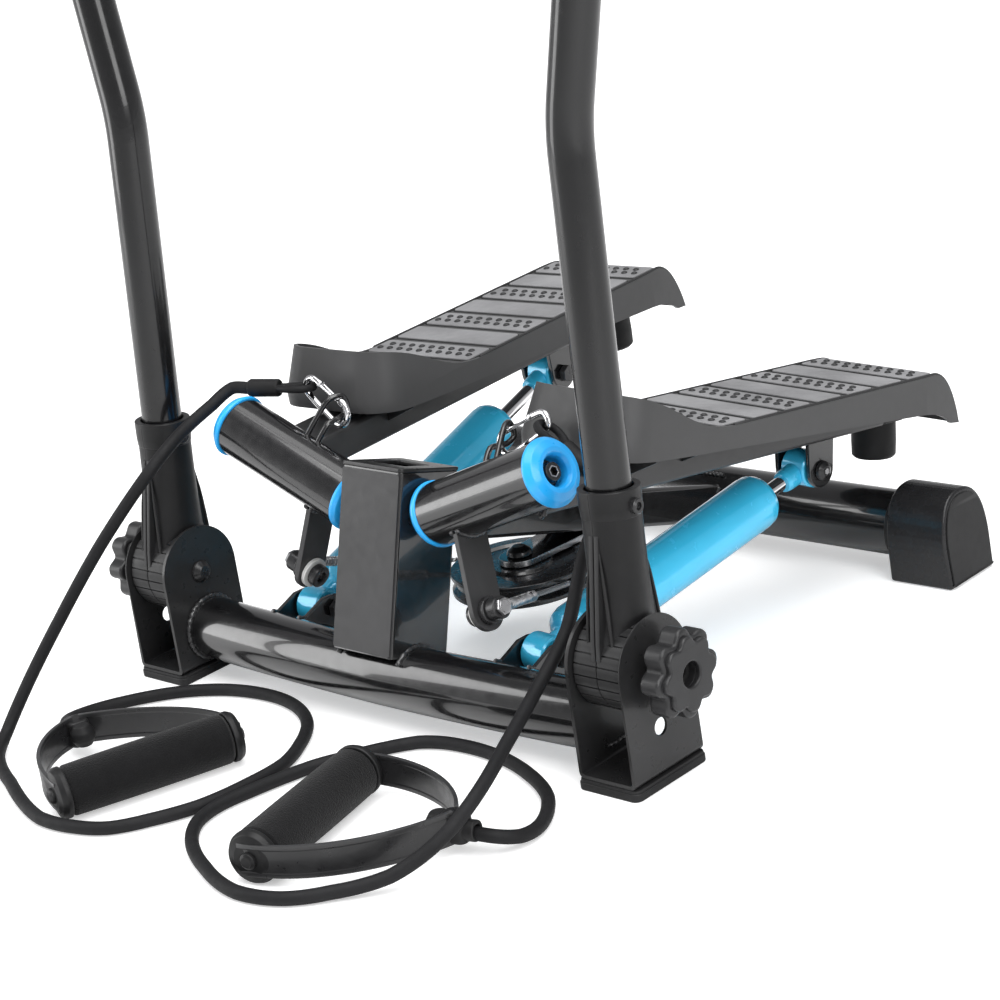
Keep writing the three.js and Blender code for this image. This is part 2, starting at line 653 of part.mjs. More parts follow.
function bumperHole() {
  return moved(disc(PIN_RADIUS, BUMPER.top - 1, -8, FINE), 0, BUMPER.u - 8, 0);
}

function bumper() {
  const { u, n, radius, top } = BUMPER;
  const profile = [[0, n], [radius - 2, n], [radius, n + 2], [radius - 0.6, top], [PIN_RADIUS - GAP, top],
    [PIN_RADIUS - GAP, top + 20], [0, top + 20]];
  return framed(moved(turned(profile, 24), 0, u - 8, 0), pedalFrame);
}

function crossPin(half) {
  const shank = disc(PIN_RADIUS, -half, half, FINE);
  const head = disc(8, half, half + 5, 14);
  const nut = disc(8.5, -half - 6, -half, 6);
  return alongX(join(shank, head, nut));
}

function upperPin() {
  const { u, n, v, gap, ear } = CLEVIS;
  return framed(crossPin(gap + ear + GAP).translate(v, u, n), pedalFrame);
}

function lowerPin() {
  return crossPin(EYE.half + 2 + CLEVIS.ear + GAP).translate(EYE.x, EYE.y, EYE.z);
}

// ---- hydraulic cylinders --------------------------------------------------------------------------------
function eyeBarrel(z) {
  return alongX(disc(EYE.radius, -EYE.half, EYE.half, 24)).translate(0, 0, z);
}

function eyeBore(z) {
  return alongX(disc(EYE.bore, -EYE.half - 1, EYE.half + 1, 20)).translate(0, 0, z);
}

function cylinderBody() {
  const { start, end, radius } = BODY;
  const profile = [[0, start - 14], [10, start - 14], [10, start], [radius - 6, start + 1], [radius, start + 8],
    [radius, end - 9], [radius - 2.5, end - 3], [radius - 8, end], [0, end]];
  const bore = disc(ROD_RADIUS + RUN, start + 70, end + 1, 16);
  return framed(cut(join(turned(profile), eyeBarrel(0)), eyeBore(0), bore), cylinder);
}

function cylinderRod() {
  const top = strokeLength;
  const rod = disc(ROD_RADIUS, BODY.start + 80, top - 20, 16);
  const neck = disc(9, top - 25, top - 12, 16);
  return framed(cut(join(rod, neck, eyeBarrel(top)), eyeBore(top)), cylinder);
}

// ---- cable that couples the pedals ---------------------------------------------------------------------
const cableEnd = point(CABLE_PITCH, PULLEY.y, PULLEY.cable);

// Bolt through the lever, rod end, ferrule and the straight run of cable, which stops `trim` short of
// the pulley.
function cableRun(trim) {
  const boltAt = (x) => point(x, -LEVER.forward, -LEVER.down).applyMatrix4(pivotFrame);
  const { along, thick } = LEVER;
  const head = bar(boltAt(along - 11), boltAt(along - 3.5), 9, 12);
  const washer = bar(boltAt(along - 3.6), boltAt(along - GAP), 12, 14);
  const shank = bar(boltAt(along - 4), boltAt(along + thick + 20), PIN_RADIUS, FINE);
  const nut = bar(boltAt(along + thick + 14.8), boltAt(along + thick + 19), 6.5, 6);
  const spacer = bar(boltAt(along + thick + GAP), boltAt(along + thick + 6), 10.5, 14);
  const eye = bar(boltAt(along + thick + 5.5), boltAt(along + thick + 16), 8.5, 14);
  const from = boltAt(along + thick + 11.5);
  const direction = cableEnd.clone().sub(from).normalize();
  const at = (distance) => from.clone().addScaledVector(direction, distance);
  const ferrule = bar(at(5), at(74), 3.8, FINE);
  const strand = bar(at(70), cableEnd.clone().addScaledVector(direction, -trim), CABLE_RADIUS, 6);
  return join(head, washer, shank, nut, spacer, eye, ferrule, strand);
}

function cableWrap() {
  const arc = new THREE.EllipseCurve(0, 0, CABLE_PITCH, CABLE_PITCH, 0, Math.PI);
  const points = arc.getPoints(12).map((p) => point(p.x, PULLEY.y + p.y, PULLEY.cable));
  return wire(points, CABLE_RADIUS, 18, 2);
}

function pulley() {
  const { bottom, top, radius, groove, cable } = PULLEY;
  const profile = [
    [BOLT_RADIUS + RUN, bottom], [radius, bottom], [radius, cable - 5], [groove, cable - 3],
    [groove, cable + 3], [radius, cable + 5], [radius, top], [BOLT_RADIUS + RUN, top],
    [BOLT_RADIUS + RUN, bottom],
  ];
  return moved(turned(profile, 32), 0, PULLEY.y, 0);
}

function pulleyBolt() {
  const plateTop = PULLEY.top + 6;
  const domeProfile = [[0, GAP], [10, GAP], [9, 4], [5, 7.5], [0, 8.5]];
  const dome = turned(domeProfile.map(([r, z]) => [r, plateTop + z]), 16);
  const shank = disc(BOLT_RADIUS, PULLEY.bottom - 16, plateTop + 1, FINE);
  const washer = disc(11, PULLEY.bottom - 5, PULLEY.bottom - RUN, 16);
  const nut = disc(8.5, PULLEY.bottom - 14, PULLEY.bottom - 4, 6);
  return moved(join(dome, shank, washer, nut), 0, PULLEY.y, 0);
}

// ---- resistance cords ------------------------------------------------------------------------------------
// Snap hook linked through the eyelet, running outwards and up; drawn in its own plane as an
// elongated ring that is open where the sprung gate closes it.
const HOOK = { straight: 36, radius: 8, wire: 2.6, gateFrom: 30, gateTo: 4 };
const hookAlong = point(0.87, 0.13, 0.475).normalize();
const hookAnchor = eyeletShoulder.clone().applyMatrix4(pivotFrame)
  .addScaledVector(hookAlong, -HOOK.wire - EYELET.wire - 1.2);

// +X runs along the hook and +Z across its plane, so that the hook goes round the eyelet's wire.
function hookFrame() {
  const normal = point(0.08, 0.92, -0.28);
  normal.addScaledVector(hookAlong, -normal.dot(hookAlong)).normalize();
  const across = normal.clone().cross(hookAlong);
  return new THREE.Matrix4().makeBasis(hookAlong, across, normal).setPosition(hookAnchor);
}

function hookRing() {
  const { straight, radius, wire: thick, gateFrom, gateTo } = HOOK;
  const points = [point(radius + gateFrom, -radius, 0)];
  for (let i = 0; i <= 8; i += 1) {
    const angle = -Math.PI / 2 + (i / 8) * Math.PI;
    points.push(point(radius + straight + radius * Math.cos(angle), radius * Math.sin(angle), 0));
  }
  for (let i = 0; i <= 8; i += 1) {
    const angle = Math.PI / 2 + (i / 8) * Math.PI;
    points.push(point(radius + radius * Math.cos(angle), radius * Math.sin(angle), 0));
  }
  points.push(point(radius + gateTo, -radius, 0));
  return framed(wire(points, thick, 22, 3), hookFrame());
}

function hookGate() {
  const { radius, gateFrom, gateTo } = HOOK;
  const from = point(radius + gateTo + 0.6, -radius, 0);
  const to = point(radius + gateFrom - 0.6, -radius, 0);
  return framed(bar(from, to, 2, 10), hookFrame());
}

// Eye of wire through the outer end of the hook and the crimp that closes it; both run along `lead`.
const EYE_WIRE = 3;
const EYE_REACH = 28; // from the eye's tip to the crimp
const CRIMP = { length: 27, radius: 7 };

function cordEnd(lead) {
  const across = lead.clone().cross(point(0, 0, 1).transformDirection(hookFrame())).normalize();
  const side = across.clone().cross(lead).normalize();
  const place = new THREE.Matrix4().makeBasis(lead, side, across).setPosition(eyeTip(lead));
  const legSide = [[3, 7], [10, 9.8], [24, 5.6], [EYE_REACH + 4, 3.1]];
  const leg = (way) => legSide.map(([x, y]) => point(x, way * y, 0));
  const eye = wire([...leg(-1).reverse(), point(0, 0, 0), ...leg(1)], EYE_WIRE, 24, 3);
  return join(framed(eye, place), bar(crimpAt(lead, 0), crimpAt(lead, CRIMP.length), CRIMP.radius, 14));
}

// The tip bears on the inside of the hook's outer bend.
function eyeTip(lead) {
  const bend = hookAnchor.clone().addScaledVector(hookAlong, HOOK.radius + HOOK.straight);
  return bend.addScaledVector(lead, HOOK.radius - HOOK.wire - EYE_WIRE - 1.8);
}

const crimpAt = (lead, distance) => eyeTip(lead).addScaledVector(lead, EYE_REACH + distance);

// The first points of a cord: after a short gap it carries on in line with its crimp.
const cordStart = (lead) => [3, 15].map((gap) => crimpAt(lead, CRIMP.length + gap));

// A cord hangs from its crimp to the floor, lies in a loop and ends at its hand grip.
const leftCordPath = [
  point(-187, 22, 224), point(-187, -14, 212), point(-187, -52, 192), point(-216, -90, 141),
  point(-240, -125, 88), point(-254, -157, 44), point(-256, -184, 13), point(-238, -207, 6.4),
  point(-190, -232, 5.3), point(-116, -261, 5.3), point(-52, -247, 5.3), point(-17, -191, 5.3), point(-10, -130, 5.3),
  point(-27, -83, 5.3), point(-78, -35, 5.3), point(-150, -32, 5.3), point(-205, -62, 5.3), point(-234, -108, 6),
  point(-232, -140, 11), point(-216, -155, 15), point(-204, -158.5, 16),
];
const rightCordPath = [
  point(182, 58, 172), point(178, 47, 155), point(176, 37, 140), point(177, 24, 120), point(183, 3, 99),
  point(186, -34, 74), point(205, -95, 56), point(223, -146, 45), point(220, -181, 28), point(200, -212, 10),
  point(172, -241, 6), point(110, -270, 5.5), point(45, -247, 5.3), point(4, -213, 5.3), point(0, -163, 5.3),
  point(12, -107, 5.3), point(57, -40, 5.3), point(130, -31, 5.3), point(205, -63, 5.3), point(236, -104, 5.3),
  point(234, -128, 8), point(227, -140, 13), point(216.8, -144.6, 15),
];

function cord(path, steps) {
  return wire(path, CORD_RADIUS, steps, 3);
}

// Grip frame: +Y along the hand grip, +X towards the strap's clamp.
const leftGrip = frame(-84, -181.5, 20, 0, 0, 160.4, 'XYZ');
const rightGrip = frame(90.7, -181.9, 20, 0, 0, 13.9, 'XYZ');

function gripFoam(place) {
  const { radius, length, cap } = GRIP;
  const half = length / 2 - cap;
  return framed(ring(radius, 12 + GAP, -half, half, 18).rotateX(Math.PI / 2), place);
}

// Moulded caps on the ends of the core, joined by the flat strap that runs out to the cord clamp.
function gripStrap(place, reach, lean) {
  const { radius, length, cap, strapWidth, strap } = GRIP;
  const half = length / 2;
  const core = turned([
    [0, -half], [radius - 2, -half], [radius, 2 - half], [radius, cap - GAP - half], [12, cap - GAP - half],
    [12, half - cap + GAP], [radius, half - cap + GAP], [radius, half - 2], [radius - 2, half], [0, half],
  ], 14).rotateX(Math.PI / 2);
  const arms = [1, -1].map((way) => strapArm(reach, lean, way, strap));
  const bands = arms.map((shape) => prism(shape, -strapWidth / 2, strapWidth / 2));
  const clamp = prism(roundRect(reach - 12, reach + 9, lean - 9, lean + 9, 6), -13, 10, 4);
  return framed(join(core, ...bands, clamp), place);
}

// Outline, seen along the strap's width, of one arm from a cap's end face out to the clamp.
function strapArm(reach, lean, way, thick) {
  const half = GRIP.length / 2 - 1;
  const curve = new THREE.CubicBezierCurve(
    new THREE.Vector2(-8, way * half), new THREE.Vector2(reach * 0.45, way * (half + 4)),
    new THREE.Vector2(reach * 0.85, lean + way * 36), new THREE.Vector2(reach - 2, lean + way * 3),
  );
  const outer = [];
  const inner = [];
  for (let i = 0; i <= 8; i += 1) {
    const p = curve.getPoint(i / 8);
    const t = curve.getTangent(i / 8);
    outer.push(new THREE.Vector2(p.x - t.y * thick / 2, p.y + t.x * thick / 2));
    inner.unshift(new THREE.Vector2(p.x + t.y * thick / 2, p.y - t.x * thick / 2));
  }
  return new THREE.Shape([...outer, ...inner]);
}

// ---- assembly -----------------------------------------------------------------------------------------------
const stepper = new THREE.Group();

function add(group, name, geometry, material) {
  const mesh = new THREE.Mesh(geometry, material);
  mesh.name = name;
  group.add(mesh);
}

// Adds a piece and its mirror image, one in each side's group.
function addPair(groups, name, geometry, material) {
  add(groups.right, `right_${name}`, geometry, material);
  add(groups.left, `left_${name}`, mirrored(geometry), material);
}

function posed(matrix) {
  const group = new THREE.Group();
  matrix.decompose(group.position, group.quaternion, group.scale);
  return group;
}

// The left side is the mirror image of the right with its pedal raised by SWING_APART.
const flip = (v) => point(-v.x, v.y, v.z);
const flipAxis = (v) => point(v.x, -v.y, -v.z);
const still = new THREE.Matrix4();
const base = new THREE.Group();
const raisedArm = turnAbout(flip(pivotPoint), flipAxis(pivotAxis), SWING_APART);
const raisedCylinder = turnAbout(flip(eyePoint), flipAxis(TILT_AXIS), SWING_APART * TILT_RATIO);
const drawn = flip(strokeAxis).multiplyScalar(SLIDE_RATE * radians(SWING_APART));
const drawnRod = new THREE.Matrix4().makeTranslation(drawn.x, drawn.y, drawn.z);
const leverEnd = flip(point(LEVER.along, -LEVER.forward, -LEVER.down).applyMatrix4(pivotFrame));
const levelledRun = turnAbout(leverEnd, flipAxis(pivotAxis), -SWING_APART);

const sides = { right: base, left: base };
const arms = { right: posed(still), left: posed(raisedArm) };
const cylinders = { right: posed(still), left: posed(raisedCylinder) };
const rods = { right: posed(still), left: posed(drawnRod) };
const runs = { right: posed(still), left: posed(levelledRun) };
cylinders.right.add(rods.right);
cylinders.left.add(rods.left);
arms.right.add(runs.right);
arms.left.add(runs.left);
stepper.add(base, arms.right, arms.left, cylinders.right, cylinders.left);

add(base, 'front_cross_tube', frontCrossTube(), PAINT);
add(base, 'console_post', consolePost(), PAINT);
add(base, 'post_cap', postCap(), PAINT);
add(base, 'main_beam', mainBeam(), PAINT);
add(base, 'rear_cross_tube', rearCrossTube(), PAINT);
addPair(sides, 'rear_foot', rearFoot(), PLASTIC);
addPair(sides, 'hinge_bracket', hingeBracket(), SATIN);
addPair(sides, 'foot_pad', footPad(), RUBBER);
addPair(sides, 'clamp_bolt', clampBolt(), STEEL);
addPair(sides, 'clamp_knob', clampKnob(), PLASTIC);
addPair(sides, 'axle_bolt', axleBolt(), STEEL);
addPair(sides, 'cylinder_lower_pin', lowerPin(), STEEL);
add(base, 'pulley_bolt', pulleyBolt(), SATIN);
add(base, 'pulley', pulley(), PLASTIC);
add(base, 'cable_wrap', cableWrap(), STEEL);

addPair(sides, 'socket_outer', socketHalf(true), PLASTIC);
addPair(sides, 'socket_inner', socketHalf(false), PLASTIC);
addPair(sides, 'handlebar_pole', pole(), PAINT);
add(base, 'handlebar_top', topBar(), PAINT);
add(base, 'handlebar_foam', foamSleeve(), FOAM);

addPair(arms, 'arm_steel', armSteel(), PAINT);
addPair(arms, 'pivot_bush_inner', innerBush(), BLUE_PLASTIC);
addPair(arms, 'pivot_bush_outer', outerBush(), BLUE_PLASTIC);
addPair(arms, 'pedal', pedal(), PLASTIC);
addPair(arms, 'pedal_bumper', bumper(), RUBBER);
addPair(arms, 'cylinder_upper_pin', upperPin(), STEEL);
addPair(arms, 'snap_hook', hookRing(), CHROME);
addPair(arms, 'snap_gate', hookGate(), CHROME);
add(runs.right, 'right_cable_run', cableRun(CABLE_TRIM), STEEL);
add(runs.left, 'left_cable_run', mirrored(cableRun(CABLE_TRIM + CABLE_LEAD)), STEEL);
addPair(cylinders, 'cylinder_body', cylinderBody(), BLUE);
addPair(rods, 'cylinder_rod', cylinderRod(), CHROME);

const hang = point(0.85, -0.14, -0.51).normalize();
const draped = point(0.897, -0.430, 0.098).normalize();
const drapedStart = cordStart(draped).map((p) => flip(p).applyMatrix4(raisedArm));
add(arms.right, 'right_cord_end', cordEnd(hang), RUBBER);
add(arms.left, 'left_cord_end', mirrored(cordEnd(draped)), RUBBER);
add(base, 'right_cord', cord([...cordStart(hang), ...rightCordPath], 50), RUBBER);
add(base, 'left_cord', cord([...drapedStart, ...leftCordPath], 46), RUBBER);
add(base, 'right_grip_foam', gripFoam(rightGrip), FOAM);
add(base, 'left_grip_foam', gripFoam(leftGrip), FOAM);
add(base, 'right_grip_strap', gripStrap(rightGrip, 118, 6), RUBBER);
add(base, 'left_grip_strap', gripStrap(leftGrip, 107, 19), RUBBER);

// The origin is on the floor under the middle of the machine's bounding box.
const bounds = new THREE.Box3().setFromObject(stepper);
const middle = bounds.getCenter(point(0, 0, 0));
stepper.position.set(-middle.x, -middle.y, -bounds.min.z);

export default stepper;
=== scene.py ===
import json
import math
import random

import bmesh
import bpy
import numpy as np
from mathutils import Matrix, Quaternion, Vector
from mathutils.geometry import tessellate_polygon


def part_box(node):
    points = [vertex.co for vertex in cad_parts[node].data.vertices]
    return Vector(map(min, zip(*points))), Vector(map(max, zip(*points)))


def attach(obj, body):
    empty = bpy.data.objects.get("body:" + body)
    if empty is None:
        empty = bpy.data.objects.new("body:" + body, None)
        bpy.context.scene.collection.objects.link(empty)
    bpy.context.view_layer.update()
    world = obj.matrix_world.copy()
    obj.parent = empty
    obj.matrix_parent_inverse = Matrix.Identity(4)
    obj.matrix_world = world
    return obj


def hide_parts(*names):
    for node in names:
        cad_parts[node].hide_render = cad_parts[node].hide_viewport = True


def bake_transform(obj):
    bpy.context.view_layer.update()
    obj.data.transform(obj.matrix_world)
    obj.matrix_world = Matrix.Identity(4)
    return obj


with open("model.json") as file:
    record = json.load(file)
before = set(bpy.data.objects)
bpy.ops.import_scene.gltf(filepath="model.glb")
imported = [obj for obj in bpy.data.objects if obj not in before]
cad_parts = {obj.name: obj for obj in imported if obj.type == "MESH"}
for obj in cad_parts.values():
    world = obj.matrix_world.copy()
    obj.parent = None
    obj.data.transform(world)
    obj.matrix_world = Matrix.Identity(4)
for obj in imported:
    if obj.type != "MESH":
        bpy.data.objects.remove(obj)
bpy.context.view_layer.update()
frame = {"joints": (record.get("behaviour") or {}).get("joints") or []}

random.seed(7)

# ---- frames, in millimetres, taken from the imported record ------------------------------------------
# The pieces are built in the machine's own frame: origin on the floor under the handlebar hinge.
pad_low, pad_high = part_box("right_foot_pad")
ORIGIN = np.array([0.0, (pad_low.y + pad_high.y) / 2, pad_low.z])
JOINTS = {joint["name"]: joint for joint in frame["joints"]}


def vec(*values):
    return np.array(values, float)


def unit(v):
    return np.array(v, float) / np.linalg.norm(v)


def joint_point(name):
    return (np.array(JOINTS[name]["pos_m"]) - ORIGIN) * 1000


def joint_axis(name):
    return unit(JOINTS[name]["axis"])


def placed_at(origin, x, y, z):
    matrix = np.eye(4)
    matrix[:3, 0], matrix[:3, 1], matrix[:3, 2], matrix[:3, 3] = x, y, z, origin
    return matrix


def shift(x, y, z):
    return placed_at((x, y, z), (1, 0, 0), (0, 1, 0), (0, 0, 1))


def frame_along(origin, z, x_hint):
    """A frame at origin whose +Z is z and whose +X is as near x_hint as it can be."""
    z = unit(z)
    x = unit(np.array(x_hint, float) - z * np.dot(x_hint, z))
    return placed_at(origin, x, np.cross(z, x), z)


def turn_about(origin, axis, degrees):
    turn = np.array(Matrix.Rotation(math.radians(degrees), 3, Vector(axis)))
    matrix = np.eye(4)
    matrix[:3, :3] = turn
    matrix[:3, 3] = np.array(origin) - turn @ np.array(origin)
    return matrix


def apply(matrix, point):
    return matrix[:3, :3] @ np.array(point, float) + matrix[:3, 3]


MIRROR = np.diag([-1.0, 1, 1, 1])
ALONG_X = placed_at((0, 0, 0), (0, 0, -1), (0, 1, 0), (1, 0, 0))
UPRIGHT = placed_at((0, 0, 0), (0, 1, 0), (0, 0, 1), (1, 0, 0))  # (x, y, z) -> (z, x, y)

SWING_APART = 10.32
TILT_RATIO = 0.966
SLIDE_RATE = 123.5
HUB_Z = joint_point("handlebar_fold")[2]
pivot_point = joint_point("right_pedal_swing")
pivot_axis = joint_axis("right_pedal_swing")
level = unit(vec(-pivot_axis[1], pivot_axis[0], 0))
PIVOT = placed_at(pivot_point, pivot_axis, level, np.cross(pivot_axis, level))


def pedal_frame():
    yaw, pitch = math.radians(-4.93), math.radians(-7.6)
    x = vec(math.cos(yaw), math.sin(yaw), 0)
    y = vec(-math.sin(yaw) * math.cos(pitch), math.cos(yaw) * math.cos(pitch), math.sin(pitch))
    return placed_at((133.9, 189.2, 191.2), x, y, np.cross(x, y))


PEDAL = pedal_frame()
POST_TILT = math.radians(17)
POST = placed_at((0, 10.7, 199.2), (1, 0, 0), (0, math.cos(POST_TILT), -math.sin(POST_TILT)),
                 (0, math.sin(POST_TILT), math.cos(POST_TILT)))
eye_point = joint_point("right_cylinder_tilt")
stroke = joint_axis("right_rod_slide")
CYLINDER = frame_along(eye_point, stroke, PEDAL[:3, 0])
STROKE_LENGTH = 299.64

left_pivot = joint_point("left_pedal_swing")
RAISED_ARM = turn_about(left_pivot, joint_axis("left_pedal_swing"), SWING_APART) @ MIRROR
RAISED_CYLINDER = turn_about(joint_point("left_cylinder_tilt"), joint_axis("left_cylinder_tilt"),
                             SWING_APART * TILT_RATIO) @ MIRROR
drawn = SLIDE_RATE * math.radians(SWING_APART) * joint_axis("left_rod_slide")
DRAWN_ROD = shift(*drawn) @ RAISED_CYLINDER


# ---- forms -----------------------------------------------------------------------------------------
class Form:
    """Corner points in millimetres, faces, and the name of each face's material."""

    def __init__(self, points, faces, coats):
        self.points = np.asarray(points, float).reshape(-1, 3)
        self.faces = [tuple(face) for face in faces]
        self.coats = [coats] * len(self.faces) if isinstance(coats, str) else list(coats)

    def __add__(self, other):
        count = len(self.points)
        faces = self.faces + [tuple(i + count for i in face) for face in other.faces]
        return Form(np.vstack([self.points, other.points]), faces, self.coats + other.coats)

    def placed(self, matrix):
        points = self.points @ matrix[:3, :3].T + matrix[:3, 3]
        flip = np.linalg.det(matrix[:3, :3]) < 0
        faces = [face[::-1] for face in self.faces] if flip else self.faces
        return Form(points, faces, self.coats)

    def outward(self):
        total = 0.0
        for face in self.faces:
            a = self.points[face[0]]
            for i in range(1, len(face) - 1):
                total += np.dot(a, np.cross(self.points[face[i]], self.points[face[i + 1]]))
        if total < 0:
            self.faces = [face[::-1] for face in self.faces]
        return self


def merge(*forms):
    whole = forms[0]
    for form in forms[1:]:
        whole = whole + form
    return whole


def loft(rings, coat, loop=False, open_ends=False):
    """A skin through rings of equal point counts, closed at both ends or round in a loop."""
    rings = [np.asarray(ring, float) for ring in rings]
    n = len(rings[0])
    faces = []
    spans = len(rings) if loop else len(rings) - 1
    for k in range(spans):
        a, b = k * n, ((k + 1) % len(rings)) * n
        for i in range(n):
            j = (i + 1) % n
            faces.append((a + i, a + j, b + j, b + i))
    points = np.vstack(rings)
    if not loop and not open_ends:
        faces.append(tuple(range(n))[::-1])
        faces.append(tuple(range((len(rings) - 1) * n, len(rings) * n)))
    return Form(points, faces, coat).outward()


def eased(points, radius, steps=3, closed=False):
    """A polyline with its corners rounded. A point may carry its own radius as a third value."""
    flat = [np.array(p[:2], float) for p in points]
    own = [p[2] if len(p) > 2 else radius for p in points]
    made = []
    count = len(flat)
    for i in range(count):
        ends = not closed and i in (0, count - 1)
        if ends or own[i] <= 0:
            made.append(flat[i])
            continue
        before, after = flat[i - 1] - flat[i], flat[(i + 1) % count] - flat[i]
        reach = min(np.linalg.norm(before), np.linalg.norm(after)) * 0.49
        before, after = unit(before), unit(after)
        angle = math.acos(max(-1, min(1, float(np.dot(before, after)))))
        if angle > math.pi - 0.02 or angle < 0.02:
            made.append(flat[i])
            continue
        back = min(own[i] / math.tan(angle / 2), reach)
        start, end = flat[i] + before * back, flat[i] + after * back
        for k in range(steps + 1):
            t = k / steps
            made.append((1 - t) ** 2 * start + 2 * t * (1 - t) * flat[i] + t * t * end)
    return made


def lathe(profile, coat, sides=64, ease=0.6, steps=3):
    """Turned about Z from (radius, z) pairs that start and end on the axis, or close on themselves."""
    ring_shape = profile[0][0] > 1e-6
    if ring_shape:
        line = eased(profile, ease, steps, closed=True)
    else:
        line = eased(profile, ease, steps)[1:-1]
    angles = np.arange(sides) * 2 * math.pi / sides
    rings = [np.column_stack([r * np.cos(angles), r * np.sin(angles), np.full(sides, z)]) for r, z in line]
    return loft(rings, coat, loop=ring_shape)


def rod(low, high, radius, coat, sides=48, ease=0.6):
    return lathe([(0, low), (radius, low), (radius, high), (0, high)], coat, sides, ease)


def ring(outer, inner, low, high, coat, sides=48, ease=0.5):
    return lathe([(inner, low), (outer, low), (outer, high), (inner, high)], coat, sides, ease)


def hexagon(across, low, high, coat):
    points = [(across / 2 / math.cos(math.pi / 6) * math.cos(a), across / 2 / math.cos(math.pi / 6) * math.sin(a))
              for a in np.arange(6) * math.pi / 3]
    return slab(points, low, high, coat, edge=0.5)


def round_rect(x0, x1, y0, y1, r, steps=6):
    points = []
    for cx, cy, start in ((x1 - r, y0 + r, -90), (x1 - r, y1 - r, 0), (x0 + r, y1 - r, 90), (x0 + r, y0 + r, 180)):
        for k in range(steps + 1):
            a = math.radians(start + 90 * k / steps)
            points.append((cx + r * math.cos(a), cy + r * math.sin(a)))
    return points


def arc(cx, cy, r, start, end, steps=16):
    angles = [math.radians(start + (end - start) * k / steps) for k in range(steps + 1)]
    return [(cx + r * math.cos(a), cy + r * math.sin(a)) for a in angles]


def inset(outline, distance):
    """The outline moved inwards by distance, for a counter-clockwise outline."""
    points = [np.array(p[:2], float) for p in outline]
    made = []
    for i, p in enumerate(points):
        a, b = unit(p - points[i - 1] + 1e-12), unit(points[(i + 1) % len(points)] - p + 1e-12)
        na, nb = vec(-a[1], a[0]), vec(-b[1], b[0])
        made.append(p + (na + nb) / max(0.35, 1 + float(np.dot(na, nb))) * distance)
    return made


def wound(outline, counter_clockwise=True):
    area = sum(a[0] * b[1] - a[1] * b[0] for a, b in zip(outline, list(outline[1:]) + [outline[0]]))
    return list(outline) if (area > 0) == counter_clockwise else list(outline)[::-1]


def slab(outline, low, high, coat, edge=0.6, holes=(), steps=2, face_coat=None):
    """A plate between two heights with its edges rounded, and rounded holes through it."""
    loops = [wound(outline)] + [wound(hole, False) for hole in holes]
    levels = []
    for k in range(steps + 1):
        a = math.pi / 2 * k / steps
        levels.append((edge * (1 - math.sin(a)), low + edge * (1 - math.cos(a))))
    levels += [(back, high - (z - low)) for back, z in levels[::-1]]
    points, faces, coats = [], [], []
    caps = {0: [], len(levels) - 1: []}
    for loop in loops:
        n = len(loop)
        start = len(points)
        for k, (back, z) in enumerate(levels):
            if k in caps:
                caps[k].append(range(len(points), len(points) + n))
            points += [(p[0], p[1], z) for p in (inset(loop, back) if back > 0 else loop)]
        for k in range(len(levels) - 1):
            for i in range(n):
                j = (i + 1) % n
                a, b = start + k * n, start + (k + 1) * n
                faces.append((a + i, a + j, b + j, b + i))
                coats.append(coat)
    for k, rows in caps.items():
        order = [index for row in rows for index in row]
        shapes = [[Vector((points[i][0], points[i][1], 0)) for i in row] for row in rows]
        flat = []
        for triangle in tessellate_polygon(shapes):
            a, b, c = (np.array(points[order[i]]) for i in triangle)
            up = np.cross(b - a, c - a)[2] > 0
            triangle = [order[i] for i in triangle]
            flat.append(tuple(triangle if up == (k > 0) else triangle[::-1]))
        faces += flat
        coats += [face_coat or coat] * len(flat)
    return Form(points, faces, coats)


def slab_x(outline, low, high, coat, **options):
    """A plate whose outline is drawn in (y, z) and whose thickness runs along X."""
    return slab(outline, low, high, coat, **options).placed(UPRIGHT)


def smooth_path(points, steps=8, loop=False):
    """Points along a centripetal Catmull-Rom curve through the given ones."""
    p = [np.array(q, float) for q in points]
    if loop:
        p = [p[-1]] + p + [p[0], p[1]]
    else:
        p = [2 * p[0] - p[1]] + p + [2 * p[-1] - p[-2]]
    made = []
    for i in range(1, len(p) - 2):
        t = [0.0]
        for k in range(3):
            t.append(t[-1] + max(1e-6, math.sqrt(np.linalg.norm(p[i + k] - p[i + k - 1]))))
        for k in range(steps):
            s = t[1] + (t[2] - t[1]) * k / steps
            row = [p[i - 1], p[i], p[i + 1], p[i + 2]]
            for width in (1, 2, 3):
                row = [((t[j + width] - s) * row[j] + (s - t[j]) * row[j + 1]) / (t[j + width] - t[j])
                       for j in range(4 - width)]
            made.append(row[0])
    if not loop:
        made.append(p[-2])
    return made


def rings_along(path, section, hint=None, loop=False):
    """Copies of a flat section set square to a path. A section is a function of the step, or a list."""
    count = len(path)
    rings = []
    side = None
    for i in range(count):
        if loop:
            along = path[(i + 1) % count] - path[i - 1]
        else:
            along = path[min(i + 1, count - 1)] - path[max(i - 1, 0)]
        along = unit(along)
        if hint is not None:
            side = np.array(hint, float)
        elif side is None:
            side = vec(0, 0, 1) if abs(along[2]) < 0.8 else vec(1, 0, 0)
        side = unit(side - along * np.dot(side, along))
        across = np.cross(along, side)
        shape = section(i) if callable(section) else section
        rings.append(np.array([path[i] + a * side + b * across for a, b in shape]))
    return rings


def circle(radius, sides):
    return [(radius * math.cos(a), radius * math.sin(a)) for a in np.arange(sides) * 2 * math.pi / sides]


